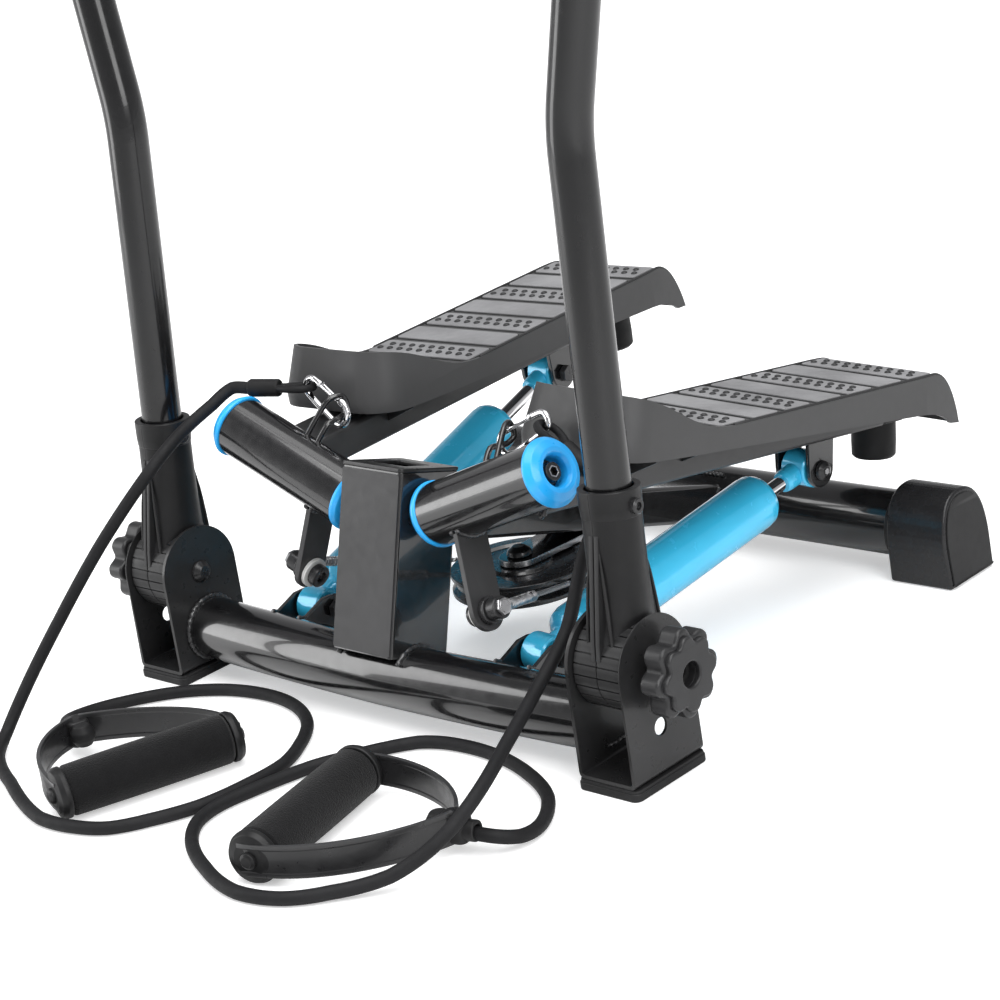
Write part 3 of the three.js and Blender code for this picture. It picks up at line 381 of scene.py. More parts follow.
def tube(path, radius, coat, sides=24, cap=0.35, loop=False):
    """A round bar along a path, with softened ends. The radius may be a function of the step."""
    path = [np.array(p, float) for p in path]
    size = radius if callable(radius) else (lambda i: radius)
    if loop:
        return loft(rings_along(path, lambda i: circle(size(i), sides), loop=True), coat, loop=True)
    start, end = unit(path[0] - path[1]), unit(path[-1] - path[-2])
    r0, r1 = size(0), size(len(path) - 1)
    line = [path[0] + start * r0 * cap] + [path[0] + start * r0 * cap * 0.7] + path
    line += [path[-1] + end * r1 * cap * 0.7, path[-1] + end * r1 * cap]
    radii = [r0 * 0.55, r0 * 0.88] + [size(i) for i in range(len(path))] + [r1 * 0.88, r1 * 0.55]
    return loft(rings_along(line, lambda i: circle(radii[i], sides)), coat)


def pipe(path, radius, wall, coat, sides=48):
    """An open-ended tube with a wall."""
    outer = rings_along(path, circle(radius, sides))
    inner = rings_along(path, circle(radius - wall, sides))
    return loft(outer + inner[::-1], coat, loop=True)


def straight(start, end, steps):
    return [np.array(start) + (np.array(end) - np.array(start)) * k / steps for k in range(steps + 1)]


def between(start, end, form):
    """A form made along +Z from the origin, set to run from start towards end."""
    along = np.array(end, float) - np.array(start, float)
    hint = (1, 0, 0) if abs(unit(along)[0]) < 0.9 else (0, 1, 0)
    return form.placed(frame_along(start, along, hint))


def weld(path, radius=2.2, coat="weld"):
    """A weld bead: a flattened bar whose size ripples along its length."""
    line = [path[0]]
    for a, b in zip(path[:-1], path[1:]):
        steps = max(1, int(np.linalg.norm(np.array(b) - np.array(a)) / 1.1))
        line += [np.array(a) + (np.array(b) - np.array(a)) * k / steps for k in range(1, steps + 1)]
    return tube(line, lambda i: radius * (0.86 + 0.16 * math.sin(i * 1.9) + random.uniform(-0.06, 0.06)), coat, 10)


# ---- forms: cutting, through Blender's own modifiers --------------------------------------------------
def to_mesh(form, scale=1.0):
    mesh = bpy.data.meshes.new("form")
    mesh.from_pydata((form.points * scale).tolist(), [], form.faces)
    names = []
    for coat in form.coats:
        if coat not in names:
            names.append(coat)
    mesh.polygons.foreach_set("material_index", [names.index(coat) for coat in form.coats])
    mesh.update()
    return mesh, names


def worked(form, *cutters, operation="DIFFERENCE", bevel=0.0, angle=30, segments=2):
    """The form cut by, or joined to, others, with its sharp edges rounded."""
    mesh, names = to_mesh(form)
    for name in names:
        mesh.materials.append(None)
    base = bpy.data.objects.new("worked", mesh)
    bpy.context.scene.collection.objects.link(base)
    helpers = [base]
    for cutter in cutters:
        helper = bpy.data.objects.new("cutter", to_mesh(cutter)[0])
        bpy.context.scene.collection.objects.link(helper)
        helpers.append(helper)
        modifier = base.modifiers.new("cut", "BOOLEAN")
        modifier.operation = operation
        modifier.object = helper
        modifier.solver = "EXACT"
    if bevel:
        modifier = base.modifiers.new("soften", "BEVEL")
        modifier.width = bevel
        modifier.segments = segments
        modifier.limit_method = "ANGLE"
        modifier.angle_limit = math.radians(angle)
        modifier.use_clamp_overlap = True
    depsgraph = bpy.context.evaluated_depsgraph_get()
    result = bpy.data.meshes.new_from_object(base.evaluated_get(depsgraph))
    points = np.zeros(len(result.vertices) * 3)
    result.vertices.foreach_get("co", points)
    faces = [tuple(polygon.vertices) for polygon in result.polygons]
    coats = [names[min(polygon.material_index, len(names) - 1)] for polygon in result.polygons]
    for helper in helpers:
        data = helper.data
        bpy.data.objects.remove(helper)
        bpy.data.meshes.remove(data)
    bpy.data.meshes.remove(result)
    return Form(points, faces, coats)


def cut(form, *cutters, **options):
    return worked(form, *cutters, **options)


def block(x0, x1, y0, y1, z0, z1, coat="cutter", radius=0.0):
    if radius:
        return slab(round_rect(x0, x1, y0, y1, radius), z0, z1, coat, edge=min(radius, 0.8))
    corners = [(x0, y0), (x1, y0), (x1, y1), (x0, y1)]
    return loft([[(x, y, z) for x, y in corners] for z in (z0, z1)], coat)


def bore(radius, low, high, sides=40):
    angles = np.arange(sides) * 2 * math.pi / sides
    rings = [np.column_stack([radius * np.cos(angles), radius * np.sin(angles), np.full(sides, z)])
             for z in (low, high)]
    return loft(rings, "cutter")


# ---- materials -------------------------------------------------------------------------------------
class Nodes:
    """Short calls for building a node tree."""

    def __init__(self, material):
        material.use_nodes = True
        self.tree = material.node_tree
        self.tree.nodes.clear()
        self.out = self.add("ShaderNodeOutputMaterial")
        self.shader = self.add("ShaderNodeBsdfPrincipled")
        self.link(self.shader, "BSDF", self.out, "Surface")
        self.coords = self.add("ShaderNodeTexCoord")

    def add(self, kind, **values):
        node = self.tree.nodes.new(kind)
        for name, value in values.items():
            setattr(node, name, value)
        return node

    def link(self, a, output, b, name):
        self.tree.links.new(a.outputs[output], b.inputs[name])

    def noise(self, scale, detail=3.0, rough=0.5, stretch=(1, 1, 1)):
        node = self.add("ShaderNodeTexNoise")
        node.inputs["Scale"].default_value = scale
        node.inputs["Detail"].default_value = detail
        node.inputs["Roughness"].default_value = rough
        mapping = self.add("ShaderNodeMapping")
        mapping.inputs["Scale"].default_value = stretch
        self.link(self.coords, "Object", mapping, "Vector")
        self.link(mapping, "Vector", node, "Vector")
        return node

    def ranged(self, source, output, low, high, start=0.3, end=0.7):
        node = self.add("ShaderNodeMapRange")
        for name, value in zip(("From Min", "From Max", "To Min", "To Max"), (start, end, low, high)):
            node.inputs[name].default_value = value
        self.link(source, output, node, "Value")
        return node

    def mixed(self, factor, output, a, b):
        node = self.add("ShaderNodeMix", data_type="RGBA")
        node.inputs[6].default_value = (*a, 1)
        node.inputs[7].default_value = (*b, 1)
        self.link(factor, output, node, "Factor")
        return node

    def bump(self, source, output, distance, strength=1.0, before=None):
        node = self.add("ShaderNodeBump")
        node.inputs["Distance"].default_value = distance
        node.inputs["Strength"].default_value = strength
        self.link(source, output, node, "Height")
        if before:
            self.link(before, "Normal", node, "Normal")
        return node


MATERIALS = {}


def finish(name, color, rough, metallic=0.0, clear=0.0, grain=900, depth=0.00002, patch=18, spread=0.25,
           vary=0.06, wear=0.0, sheen=0.0, stretch=(1, 1, 1), cells=0.0, specular=0.5):
    """A material whose colour and roughness drift slowly, with a fine surface grain and rubbed edges."""
    material = bpy.data.materials.new(name)
    n = Nodes(material)
    drift = n.noise(patch, 4)
    darker = tuple(c * (1 - spread) for c in color)
    lighter = tuple(min(1, c * (1 + spread)) for c in color)
    spread_node = n.ranged(drift, "Fac", 0, 1)
    tint = n.mixed(spread_node, "Result", darker, lighter)
    last = tint
    if wear:
        geometry = n.add("ShaderNodeNewGeometry")
        edge = n.ranged(geometry, "Pointiness", 0, wear, 0.51, 0.6)
        worn = n.add("ShaderNodeMix", data_type="RGBA")
        worn.inputs[7].default_value = tuple(min(1, c * 3 + 0.12) for c in color) + (1,)
        n.link(edge, "Result", worn, "Factor")
        n.tree.links.new(tint.outputs[2], worn.inputs[6])
        last = worn
    n.tree.links.new(last.outputs[2], n.shader.inputs["Base Color"])
    mottle = n.noise(patch * 7, 5)
    gloss = n.ranged(mottle, "Fac", max(0.02, rough - vary), rough + vary)
    n.link(gloss, "Result", n.shader, "Roughness")
    fine = n.noise(grain, 2, 0.6, stretch)
    bumped = n.bump(fine, "Fac", depth)
    if cells:
        voronoi = n.add("ShaderNodeTexVoronoi")
        voronoi.inputs["Scale"].default_value = cells
        n.link(n.coords, "Object", voronoi, "Vector")
        bumped = n.bump(voronoi, "Distance", depth * 3, before=bumped)
    n.link(bumped, "Normal", n.shader, "Normal")
    n.shader.inputs["Metallic"].default_value = metallic
    n.shader.inputs["Coat Weight"].default_value = clear
    n.shader.inputs["Coat Roughness"].default_value = 0.04
    n.shader.inputs["Specular IOR Level"].default_value = specular
    if sheen:
        n.shader.inputs["Sheen Weight"].default_value = sheen
        n.shader.inputs["Sheen Roughness"].default_value = 0.5
    MATERIALS[name] = material


BLACK = (0.006, 0.006, 0.0065)
finish("gloss", BLACK, 0.2, clear=0.75, grain=260, depth=0.000012, vary=0.05, wear=0.08)
finish("pole", (0.005, 0.005, 0.0055), 0.24, clear=0.4, grain=420, depth=0.00001, vary=0.04, specular=0.35)
finish("satin", (0.026, 0.026, 0.027), 0.42, specular=0.4, grain=1500, depth=0.00002, vary=0.05, wear=0.12)
finish("bracket", (0.012, 0.012, 0.0125), 0.3, clear=0.1, grain=700, depth=0.00001, vary=0.04, wear=0.15,
       specular=0.3)
finish("weld", (0.014, 0.014, 0.015), 0.3, clear=0.5, grain=900, depth=0.00006, vary=0.08, wear=0.15)
finish("plastic", (0.010, 0.010, 0.0105), 0.4, specular=0.25, grain=1700, depth=0.00004, vary=0.05, wear=0.16)
finish("knob", (0.02, 0.02, 0.021), 0.36, specular=0.35, grain=1900, depth=0.00004, vary=0.05, wear=0.2)
finish("deck", (0.013, 0.013, 0.0135), 0.44, specular=0.24, grain=2000, depth=0.00005, vary=0.05, wear=0.35)
# painted light: the tread pads are the deck's own plastic, given a much lighter grey to stand in for the light falling
# on their tops
finish("tread", (0.19, 0.19, 0.195), 0.5, specular=0.3, grain=1300, depth=0.00007, vary=0.07, wear=0.25)
# painted shade: a near-black matte coat for thin plates and fills set where only shadow falls, round the tread pads and
# at the bottom of recesses
finish("painted_recess_shade", (0.008, 0.008, 0.008), 0.7, grain=1300, depth=0.00004)
finish("dot", (0.010, 0.010, 0.011), 0.45, grain=1800, depth=0.00003, wear=0.2)
finish("rubber", (0.010, 0.010, 0.0105), 0.55, specular=0.22, grain=1500, depth=0.00006, vary=0.06, wear=0.15)
finish("cord", (0.012, 0.012, 0.013), 0.6, specular=0.2, grain=1800, depth=0.00008, vary=0.07, wear=0.0)
finish("foam", (0.0045, 0.0045, 0.005), 0.92, grain=2600, depth=0.00012, vary=0.04, cells=900, sheen=0.12,
       specular=0.25)
finish("blue_plastic", (0.02, 0.42, 0.95), 0.32, clear=0.2, grain=800, depth=0.000012, spread=0.06, vary=0.05)
finish("blue_paint", (0.05, 0.58, 0.92), 0.24, metallic=0.1, clear=0.8, grain=300, depth=0.000012,
       spread=0.06, vary=0.04)
finish("chrome", (0.82, 0.82, 0.83), 0.07, metallic=1, grain=500, depth=0.000004, spread=0.04, vary=0.03)
finish("zinc", (0.52, 0.52, 0.53), 0.3, metallic=1, grain=1400, depth=0.00002, spread=0.12, vary=0.1)
finish("cable", (0.4, 0.4, 0.41), 0.34, metallic=1, grain=1200, depth=0.00003, spread=0.15, vary=0.1)
finish("oxide", (0.014, 0.014, 0.015), 0.3, metallic=0.3, clear=0.2, grain=1200, depth=0.00003, vary=0.08,
       wear=0.35)
finish("nylon", (0.75, 0.75, 0.73), 0.45, grain=900, depth=0.00002, spread=0.05)
MATERIALS["cutter"] = MATERIALS["oxide"]

# ---- placing pieces --------------------------------------------------------------------------------
IDENTITY = np.eye(4)
CABLE_LEFT = turn_about(joint_point("left_cable_level"), joint_axis("left_cable_level"), -SWING_APART) @ RAISED_ARM
LEFT_PLACE = {"frame": MIRROR, "handlebar": MIRROR, "knob": MIRROR, "arm": RAISED_ARM, "gate": RAISED_ARM,
              "cylinder": RAISED_CYLINDER, "rod": DRAWN_ROD, "cable": CABLE_LEFT}


def make(name, form, slot, *nodes):
    mesh, coats = to_mesh(form, 0.001)
    mesh.transform(Matrix.Translation(ORIGIN))
    mesh.validate()
    mesh.polygons.foreach_set("use_smooth", [True] * len(mesh.polygons))
    mesh.set_sharp_from_angle(angle=math.radians(38))
    obj = bpy.data.objects.new(name, mesh)
    bpy.context.scene.collection.objects.link(obj)
    for coat in coats:
        mesh.materials.append(MATERIALS[coat])
    weighted = obj.modifiers.new("normals", "WEIGHTED_NORMAL")
    weighted.keep_sharp = True
    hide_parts(*nodes)
    return obj


def single(name, form, slot, body, *nodes):
    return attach(make(name, form, slot, *nodes), body)


def pair(name, form, slot, kind, *nodes):
    """The right-hand piece, and the left-hand one: its mirror image in the raised pedal's pose."""
    for side, place in (("right", IDENTITY), ("left", LEFT_PLACE[kind])):
        body = kind if kind in ("frame", "handlebar") else f"{side}_{kind}"
        single(f"{side}_{name}", form.placed(place), slot, body, *(f"{side}_{node}" for node in nodes))


# ---- base ------------------------------------------------------------------------------------------
TUBE_RADIUS = 25
CROSS_Z = 38
cross_guide = np.array(smooth_path([(-222, 1.7, CROSS_Z), (-171.2, -2.3, CROSS_Z), (0, -8.3, CROSS_Z),
                                    (171.2, -2.3, CROSS_Z), (222, 1.7, CROSS_Z)], 16))


def cross_axis(x):
    return vec(x, np.interp(x, cross_guide[:, 0], cross_guide[:, 1]), CROSS_Z)


def cross_tube():
    path = [cross_axis(x) for x in np.linspace(-213.7, 213.7, 49)]
    tube_form = loft(rings_along(path, circle(TUBE_RADIUS, 80)), "gloss")
    extras = []
    for side in (1, -1):
        end = cross_axis(side * 212.6)
        bead = [end + vec(0, 25.6 * math.cos(a), 25.6 * math.sin(a)) for a in np.arange(0, 6.4, 0.12)]
        extras.append(weld(bead, 2.4))
        for way in (-1, 1):
            inner = side * 122 + way * 14
            ear = anchor_ear(min(inner, inner + way * 4), max(inner, inner + way * 4))
            extras.append(ear)
            foot = inner + way * 2
            extras.append(weld([(foot, cross_axis(foot)[1] + 25.4 * math.sin(a), CROSS_Z + 25.4 * math.cos(a))
                                for a in np.arange(0.35, 1.6, 0.1)], 1.9))
    return merge(tube_form, *extras)


def anchor_ear(low, high):
    outline = [(12, 44), (45.8, 40)] + arc(39.8, 56, 12, -54, 90, 14) + [(29.8, 68), (4, 58)]
    return slab_x(outline, low, high, "gloss", edge=0.7, holes=[circle_at(39.8, 56, 5.3)])


def circle_at(x, y, r, steps=24):
    return [(x + r * math.cos(a), y + r * math.sin(a)) for a in np.arange(steps) * 2 * math.pi / steps]


def console_post():
    half, depth, wall = 31.4, 61, 2.5
    outer = slab(round_rect(-half, half, 0, depth, 3.2), -142.4, -3.2, "gloss", edge=0.4)
    hollow = slab(round_rect(wall - half, half - wall, wall, depth - wall, 2), -170, 5, "cutter", edge=0.1)
    shell = cut(outer.placed(POST), hollow.placed(POST), bore(TUBE_RADIUS + 0.2, -60, 60, 64)
                .placed(ALONG_X).placed(shift(0, cross_axis(0)[1], CROSS_Z)))
    panel = slab(round_rect(-half + 1.2, half - 1.2, -141.2, -4.6, 2), 0, 0.7, "satin", edge=0.3)
    front = placed_at((0, 0, 0), (1, 0, 0), (0, 0, 1), (0, -1, 0))
    beads = []
    for side in (-1, 1):
        x = side * (half + 0.4)
        y0 = cross_axis(x)[1]
        beads.append(weld([(x, y0 + 25.6 * math.sin(a), CROSS_Z + 25.6 * math.cos(a))
                           for a in np.arange(-0.75, 1.45, 0.08)], 2.3))
    axle = rod(-22, 113, 10, "zinc").placed(ALONG_X).placed(PIVOT)
    return merge(shell, panel.placed(front).placed(POST), *beads, axle, axle.placed(MIRROR))


def post_cap():
    plate = slab(round_rect(-32, 32, -0.6, 61.6, 3.5), -3, 0, "bracket", edge=0.7,
                 holes=[round_rect(-17, 17, 17, 45, 2.5)])
    bead = weld([(x, 62, -2.4) for x in np.linspace(-26, 26, 20)], 1.2)
    return merge(plate, bead).placed(POST)


def main_beam():
    outline = round_rect(-20, 20, -59, -26.5, 4)
    reach = (400 - 10.7) / math.cos(POST_TILT)
    rings = [[(x, y, z) for x, z in outline] for y in (61.3, 61.31, reach)]
    beam = loft(rings, "gloss").placed(POST)
    tube_cut = bore(27.3, -80, 80, 72).placed(ALONG_X).placed(shift(0, 400, 39))
    behind = block(-80, 80, 400, 560, -50, 200)
    beam = cut(beam, tube_cut, behind)
    loops = [weld([(x, 61.6, z) for x, z in outline + outline[:1]], 1.7).placed(POST)]
    loops.append(weld([(x, 400 - math.sqrt(max(1, 28 ** 2 - (z - 39) ** 2)), z)
                       for x, z in [(20.5, 34 + 2 * k) for k in range(12)]], 1.9))
    loops.append(loops[-1].placed(MIRROR))
    loops.append(weld([(x, 387.5, 64.4) for x in np.linspace(-19, 19, 16)], 2.0))
    shape = [(-19, 236), (-19, 190), (-17, 150)] + arc(0, 150, 17, 180, 360, 20) + [(19, 190), (19, 236)]
    # the plate's edge walls take zinc while its faces take black paint: the silver rim is a painted highlight along the
    # edge of a black-painted plate
    plate = slab(shape, 71, 76, "zinc", edge=0.7, holes=[circle_at(0, 150, 5.4)], face_coat="gloss")
    gusset = slab_x([(176, 74), (236, 74), (236, 90), (200, 88)], -2.5, 2.5, "gloss", edge=0.6)
    return merge(beam, *loops, plate, gusset)


def rear_tube():
    return ring(27, 25, -246, 246, "gloss", 80, 0.3).placed(ALONG_X).placed(shift(0, 400, 39))


def flared(form, low, high, amount, top):
    """Leans the outer end of a foot inwards with height."""
    points = form.points.copy()
    share = np.clip((points[:, 0] - low) / (high - low), 0, 1)
    points[:, 0] -= share * amount * np.clip(points[:, 2] / top, 0, 1)
    return Form(points, form.faces, form.coats)


def rear_foot():
    crown = [(-31, 0.5), (31, 0.5), (32, 30)] + bezier((32, 30), (32, 60), (21, 76), (0, 76), 14)
    crown += bezier((0, 76), (-21, 76), (-32, 60), (-32, 30), 14)
    shape = eased(crown, 3, 3, closed=True)
    body = slab_x(shape, 196, 254.6, "plastic_gloss", edge=2.6, steps=4)
    face = slab_x(inset(wound(shape), 3.4), 254, 256, "plastic", edge=0.8)
    collar = ring(30.5, 27.2, 193, 197, "plastic", 64, 1).placed(ALONG_X).placed(shift(0, 0, 39))
    sole = slab(round_rect(199, 252, -28, 28, 5), 0, 2, "rubber", edge=0.6)
    return merge(flared(merge(body, face), 226, 256, 6, 76), collar, sole).placed(shift(0, 400, 0))


finish("plastic_gloss", (0.014, 0.014, 0.015), 0.27, grain=1500, depth=0.00001, vary=0.04, clear=0.1, wear=0.05,
       specular=0.3)


def hinge_bracket():
    inner, outer, wall, base = 214.4, 265.9, 3, 8.5
    outside = [(outer, 140, 0), (inner, 140, 0), (inner, base, 5), (outer, base, 5)]
    inside = [(outer - wall, 140, 0), (outer - wall, base + wall, 2.4), (inner + wall, base + wall, 2.4),
              (inner + wall, 140, 0)]
    channel = eased(outside + inside, 0, 5, closed=True)
    upright = placed_at((0, 0, 0), (1, 0, 0), (0, 0, 1), (0, -1, 0))
    folded = slab(channel, -60, 60, "bracket", edge=0.05).placed(upright)
    cheek = [(-37.5, 0), (37.5, 0)] + arc(0, HUB_Z, 37.5, 0, 180, 40)
    arch = slab_x(cheek, 200, 280, "bracket", edge=0.05)
    folded = worked(folded, arch, operation="INTERSECT")
    holes = bore(5.6, 200, 280).placed(ALONG_X).placed(shift(0, 0, HUB_Z))
    drain = bore(6.5, 255, 280).placed(ALONG_X).placed(shift(-0, -3, 43))
    sheet = cut(folded, holes, drain, bevel=0.7, angle=40)
    rivet = slab_x(circle_at(12, 48, 7.5), 213.2, 214.6, "bracket", edge=0.5)
    lug = weld([(217.8, y, 20 + 0.1 * abs(y)) for y in np.linspace(-8, 30, 14)], 1.6)
    return merge(sheet, rivet, lug)


def foot_pad():
    sole = slab(round_rect(212.4, 267.9, -39.5, 39.5, 6), 0, 6.2, "rubber", edge=1.2, steps=3)
    lip = slab(round_rect(213.2, 267.1, -38.7, 38.7, 5.4), 5.6, 8.3, "rubber", edge=0.9)
    return merge(sole, lip)


def clamp_bolt():
    head = lathe([(0, -6.2), (5, -5.8), (8.6, -2), (9.4, 0), (0, 0)], "oxide", 48, 1.2)
    shank = rod(0, 68, 5, "zinc", 32)
    tip = rod(66, 68.4, 4, "zinc", 32)
    return merge(head, shank, tip).placed(ALONG_X).placed(shift(214.1, 0, HUB_Z))


def star(radius, depth, power=1.5, lobes=8, steps=24):
    points = []
    for k in range(lobes * steps):
        a = 2 * math.pi * k / (lobes * steps)
        flute = ((1 - math.cos(lobes * a)) / 2) ** power
        r = radius - depth * flute
        points.append((r * math.cos(a), r * math.sin(a)))
    return points


def clamp_knob():
    hole = [circle_at(0, 0, 9, 40)]
    lower = slab_x(star(32.7, 6.4), 277, 293.6, "knob", edge=2.6, holes=hole, steps=5)
    upper = slab_x(star(27.4, 4.6), 291.5, 297.1, "knob", edge=1.8, holes=hole, steps=4)
    waist = slab_x(star(28.5, 6.0), 274.6, 278.5, "knob", edge=1.2, holes=hole, steps=3)
    boss = ring(15.5, 5.7, 269.5, 277.5, "knob", 48, 1.0).placed(ALONG_X)
    # a near-black ring inside the bore: painted shade in the knob's hole
    bottom = ring(9.6, 5.7, 284, 287, "painted_recess_shade", 40, 0.3).placed(ALONG_X)
    return merge(lower, upper, waist, boss, bottom).placed(shift(0, 0, HUB_Z))


# ---- folding handlebar -------------------------------------------------------------------------------
hub = vec(240.2, 0, HUB_Z)
knee = vec(230, 24.3, 455)
pole_top = vec(318, 50, 880)
SOCKET = frame_along(hub, knee - hub, (1, 0, 0))
SOCKET_TOP = 126.2


def toothed(radius, depth, count):
    points = []
    for k in range(count):
        a = 360 * k / count
        step = 360 / count
        points += arc(0, 0, radius, a, a + step * 0.86, 4)
        points += arc(0, 0, radius - depth, a + step * 0.89, a + step * 0.97, 1)
    return points


def neck_ring(z, half_x, half_y):
    return [(half_x * math.cos(a), half_y * math.sin(a), z) for a in np.arange(64) * 2 * math.pi / 64]


def socket(outer):
    """One moulded half: a ribbed wheel, a tapering neck with fins, and a split collar."""
    low, high = (240.35, 260.6) if outer else (219.2, 240.05)
    rim = slab_x(toothed(34, 1.0, 26), low, high, "plastic", edge=0.9).placed(shift(0, 0, HUB_Z))
    cheek = slab_x(circle_at(0, 0, 30, 64), low - (not outer) * 1.2, high + outer * 1.2, "plastic",
                   edge=1.4).placed(shift(0, 0, HUB_Z))
    rings = [neck_ring(z, a, b) for z, a, b in
             ((14, 19.5, 29), (24, 19.6, 27.5), (34, 19.8, 24.5), (60, 20.2, 22.3), (90, 20.8, 21.2),
              (104, 21, 21), (110, 21, 21), (113, 20.7, 20.7))]
    neck = loft(rings, "plastic").placed(SOCKET)
    collar = lathe([(17.3, 106), (21.3, 106), (21.9, 112), (22.2, 126.2), (17.3, 126.2)], "plastic", 64,
                   0.9).placed(SOCKET)
    fins = []
    for way in (-1, 1):
        outline = [(way * 14, 10), (way * 33, 10), (way * 32, 22), (way * 21.6, 96), (way * 14, 100)]
        fins.append(slab_x(outline, 0.4 if outer else -4.2, 4.2 if outer else -0.4, "plastic",
                           edge=0.9).placed(SOCKET))
        ridge = [(0.2, 28 * way, 18), (0.2, 24.6 * way, 60), (0.2, 21 * way, 84)]
        side = 11 if outer else -11
        ridge = [(side * (1 - k * 0.32), y * (0.93 + 0.045 * k), z) for k, (x, y, z) in enumerate(ridge)]
        fins.append(tube(smooth_path(ridge, 8), lambda i: 1.5 - 0.05 * i, "plastic", 12).placed(SOCKET))
    reach = 1 if outer else -1
    screw = lathe([(0, 18), (5.6, 18), (5.6, 24.8), (4.9, 25.4), (2.9, 25.4), (2.6, 23.4), (0, 23.4)], "oxide", 32, 0.3)
    turned = ALONG_X if outer else MIRROR @ ALONG_X
    fastening = screw.placed(turned).placed(SOCKET @ shift(0, 0, 114))
    whole = merge(neck, collar, *fins, fastening)
    return merge(clipped(whole, reach), rim, cheek)


def clipped(form, side):
    """The part of a form on one side of the socket's mid-plane, closed along the cut."""
    mesh, names = to_mesh(form)
    grid = bmesh.new()
    grid.from_mesh(mesh)
    normal = Vector(SOCKET[:3, 0])
    cut_at = bmesh.ops.bisect_plane(grid, geom=grid.verts[:] + grid.edges[:] + grid.faces[:],
                                    plane_co=Vector(SOCKET[:3, 3]) + normal * 0.15 * side, plane_no=normal,
                                    clear_inner=side > 0, clear_outer=side < 0)
    edges = [e for e in cut_at["geom_cut"] if isinstance(e, bmesh.types.BMEdge)]
    bmesh.ops.holes_fill(grid, edges=edges, sides=0)
    bmesh.ops.recalc_face_normals(grid, faces=grid.faces[:])
    grid.to_mesh(mesh)
    grid.free()
    points = [tuple(v.co) for v in mesh.vertices]
    made = Form(points, [tuple(p.vertices) for p in mesh.polygons],
                [names[min(p.material_index, len(names) - 1)] for p in mesh.polygons])
    bpy.data.meshes.remove(mesh)
    return made


def pole_path():
    start = hub + (knee - hub) * 0.105
    down, up = unit(start - knee), unit(pole_top - knee)
    before, after = knee + down * 20, knee + up * 20
    turn = [(1 - t) ** 2 * before + 2 * t * (1 - t) * knee + t * t * after for t in np.linspace(0, 1, 11)]
    return straight(start, before, 10)[:-1] + turn + straight(after, pole_top, 12)[1:]


def handlebar_pole():
    return pipe(pole_path(), 16, 1.8, "pole", 64)


def top_bar():
    up = unit(pole_top - knee)
    half = [pole_top + up * 4, vec(332, 54, 1075), vec(310, 42, 1175), vec(250, 32, 1235), vec(120, 32, 1235)]
    other = [p * vec(-1, 1, 1) for p in half][::-1]
    bar = pipe(smooth_path(half + other, 14), 16, 1.8, "pole", 56)
    place = frame_along(pole_top, up, (1, 0, 0))
    sleeve = lathe([(16.3, -30), (18.4, -30), (18.5, 18), (14.4, 18), (14.4, 0.4), (16.3, 0.4)], "pole", 56, 0.5)
    button = lathe([(0, 16), (4, 16), (4, 20.5), (0, 21.4)], "zinc", 32, 0.8).placed(ALONG_X)
    sleeve = merge(sleeve, button.placed(shift(0, 0, -14))).placed(place)
    return merge(bar, sleeve, sleeve.placed(MIRROR))


def handlebar_foam():
    ends = [(16.6, -115), (20, -115), (22, -111), (22.2, -60), (22.4, 0), (22.2, 60), (22, 111), (20, 115),
            (16.6, 115)]
    return lathe(ends, "foam", 64, 2.0).placed(ALONG_X).placed(shift(0, 32, 1235))


# ---- pedal arms ----------------------------------------------------------------------------------------
ARM_HALF, ARM_TOP, ARM_BOTTOM = 27, -17, -42


def channel_section(shrink):
    return round_rect(-ARM_HALF + shrink, ARM_HALF - shrink, ARM_BOTTOM + shrink, ARM_TOP - shrink, 3.4 - shrink * 0.8)


def arm_channel():
    rings = []
    for u, shrink in ((-150, 0), (-149.9, 0), (224.4, 0), (225, 0.6), (225, 2), (224.4, 2.2), (190, 2.2)):
        rings.append([(v, u, n) for v, n in channel_section(shrink)])
    return loft(rings, "arm").placed(PEDAL)


finish("arm", (0.022, 0.022, 0.023), 0.38, grain=900, depth=0.00002, vary=0.05, clear=0.1, wear=0.15)


def joint_bead():
    """Weld bead where the channel meets the pivot tube."""
    path = []
    for v, n in inset(channel_section(0), -0.6) + [channel_section(0)[0]]:
        near = [u for u in np.arange(-150, -60, 0.5) if distance_to_axis(apply(PEDAL, (v, u, n))) > 24.3]
        path.append(apply(PEDAL, (v, near[0] if near else -120, n)))
    spaced = [path[0]]
    for p in path:
        if 0.8 < np.linalg.norm(p - spaced[-1]) < 40:
            spaced.append(p)
    return weld(spaced, 2.2)


def distance_to_axis(point):
    away = np.array(point) - pivot_point
    return np.linalg.norm(away - pivot_axis * np.dot(away, pivot_axis))


LEVER_REACH = (-21.5, -77.5)


def lever_plate():
    length = math.hypot(*LEVER_REACH)
    outline = [(14.5, -21), (-14.5, -21), (-14.5, -length)] + arc(0, -length, 14.5, 180, 360, 24)
    plate = slab_x(outline, 25.5, 30.5, "satin", edge=0.6, holes=[circle_at(0, -length, 5.4)])
    across = [(y, -math.sqrt(24.4 ** 2 - y * y)) for y in np.linspace(-15, 15, 16)]
    bead = merge(weld([(24.9, y, z) for y, z in across], 2.2), weld([(31.1, y, z) for y, z in across], 2.0))
    lean = math.atan2(LEVER_REACH[0], -LEVER_REACH[1])
    return merge(plate, bead).placed(np.array(Matrix.Rotation(lean, 4, "X"))).placed(PIVOT)


EYELET_SHOULDER = (51, 41, 28)


def eyelet():
    points = [(50, 12, 17), (50, 26, 30), EYELET_SHOULDER, (53.5, 49, 31), (57, 47, 41), (61, 38, 41), (62, 26, 31),
              (62, 12, 17)]
    return tube(smooth_path(points, 8), 2.3, "gloss", 20).placed(PIVOT)


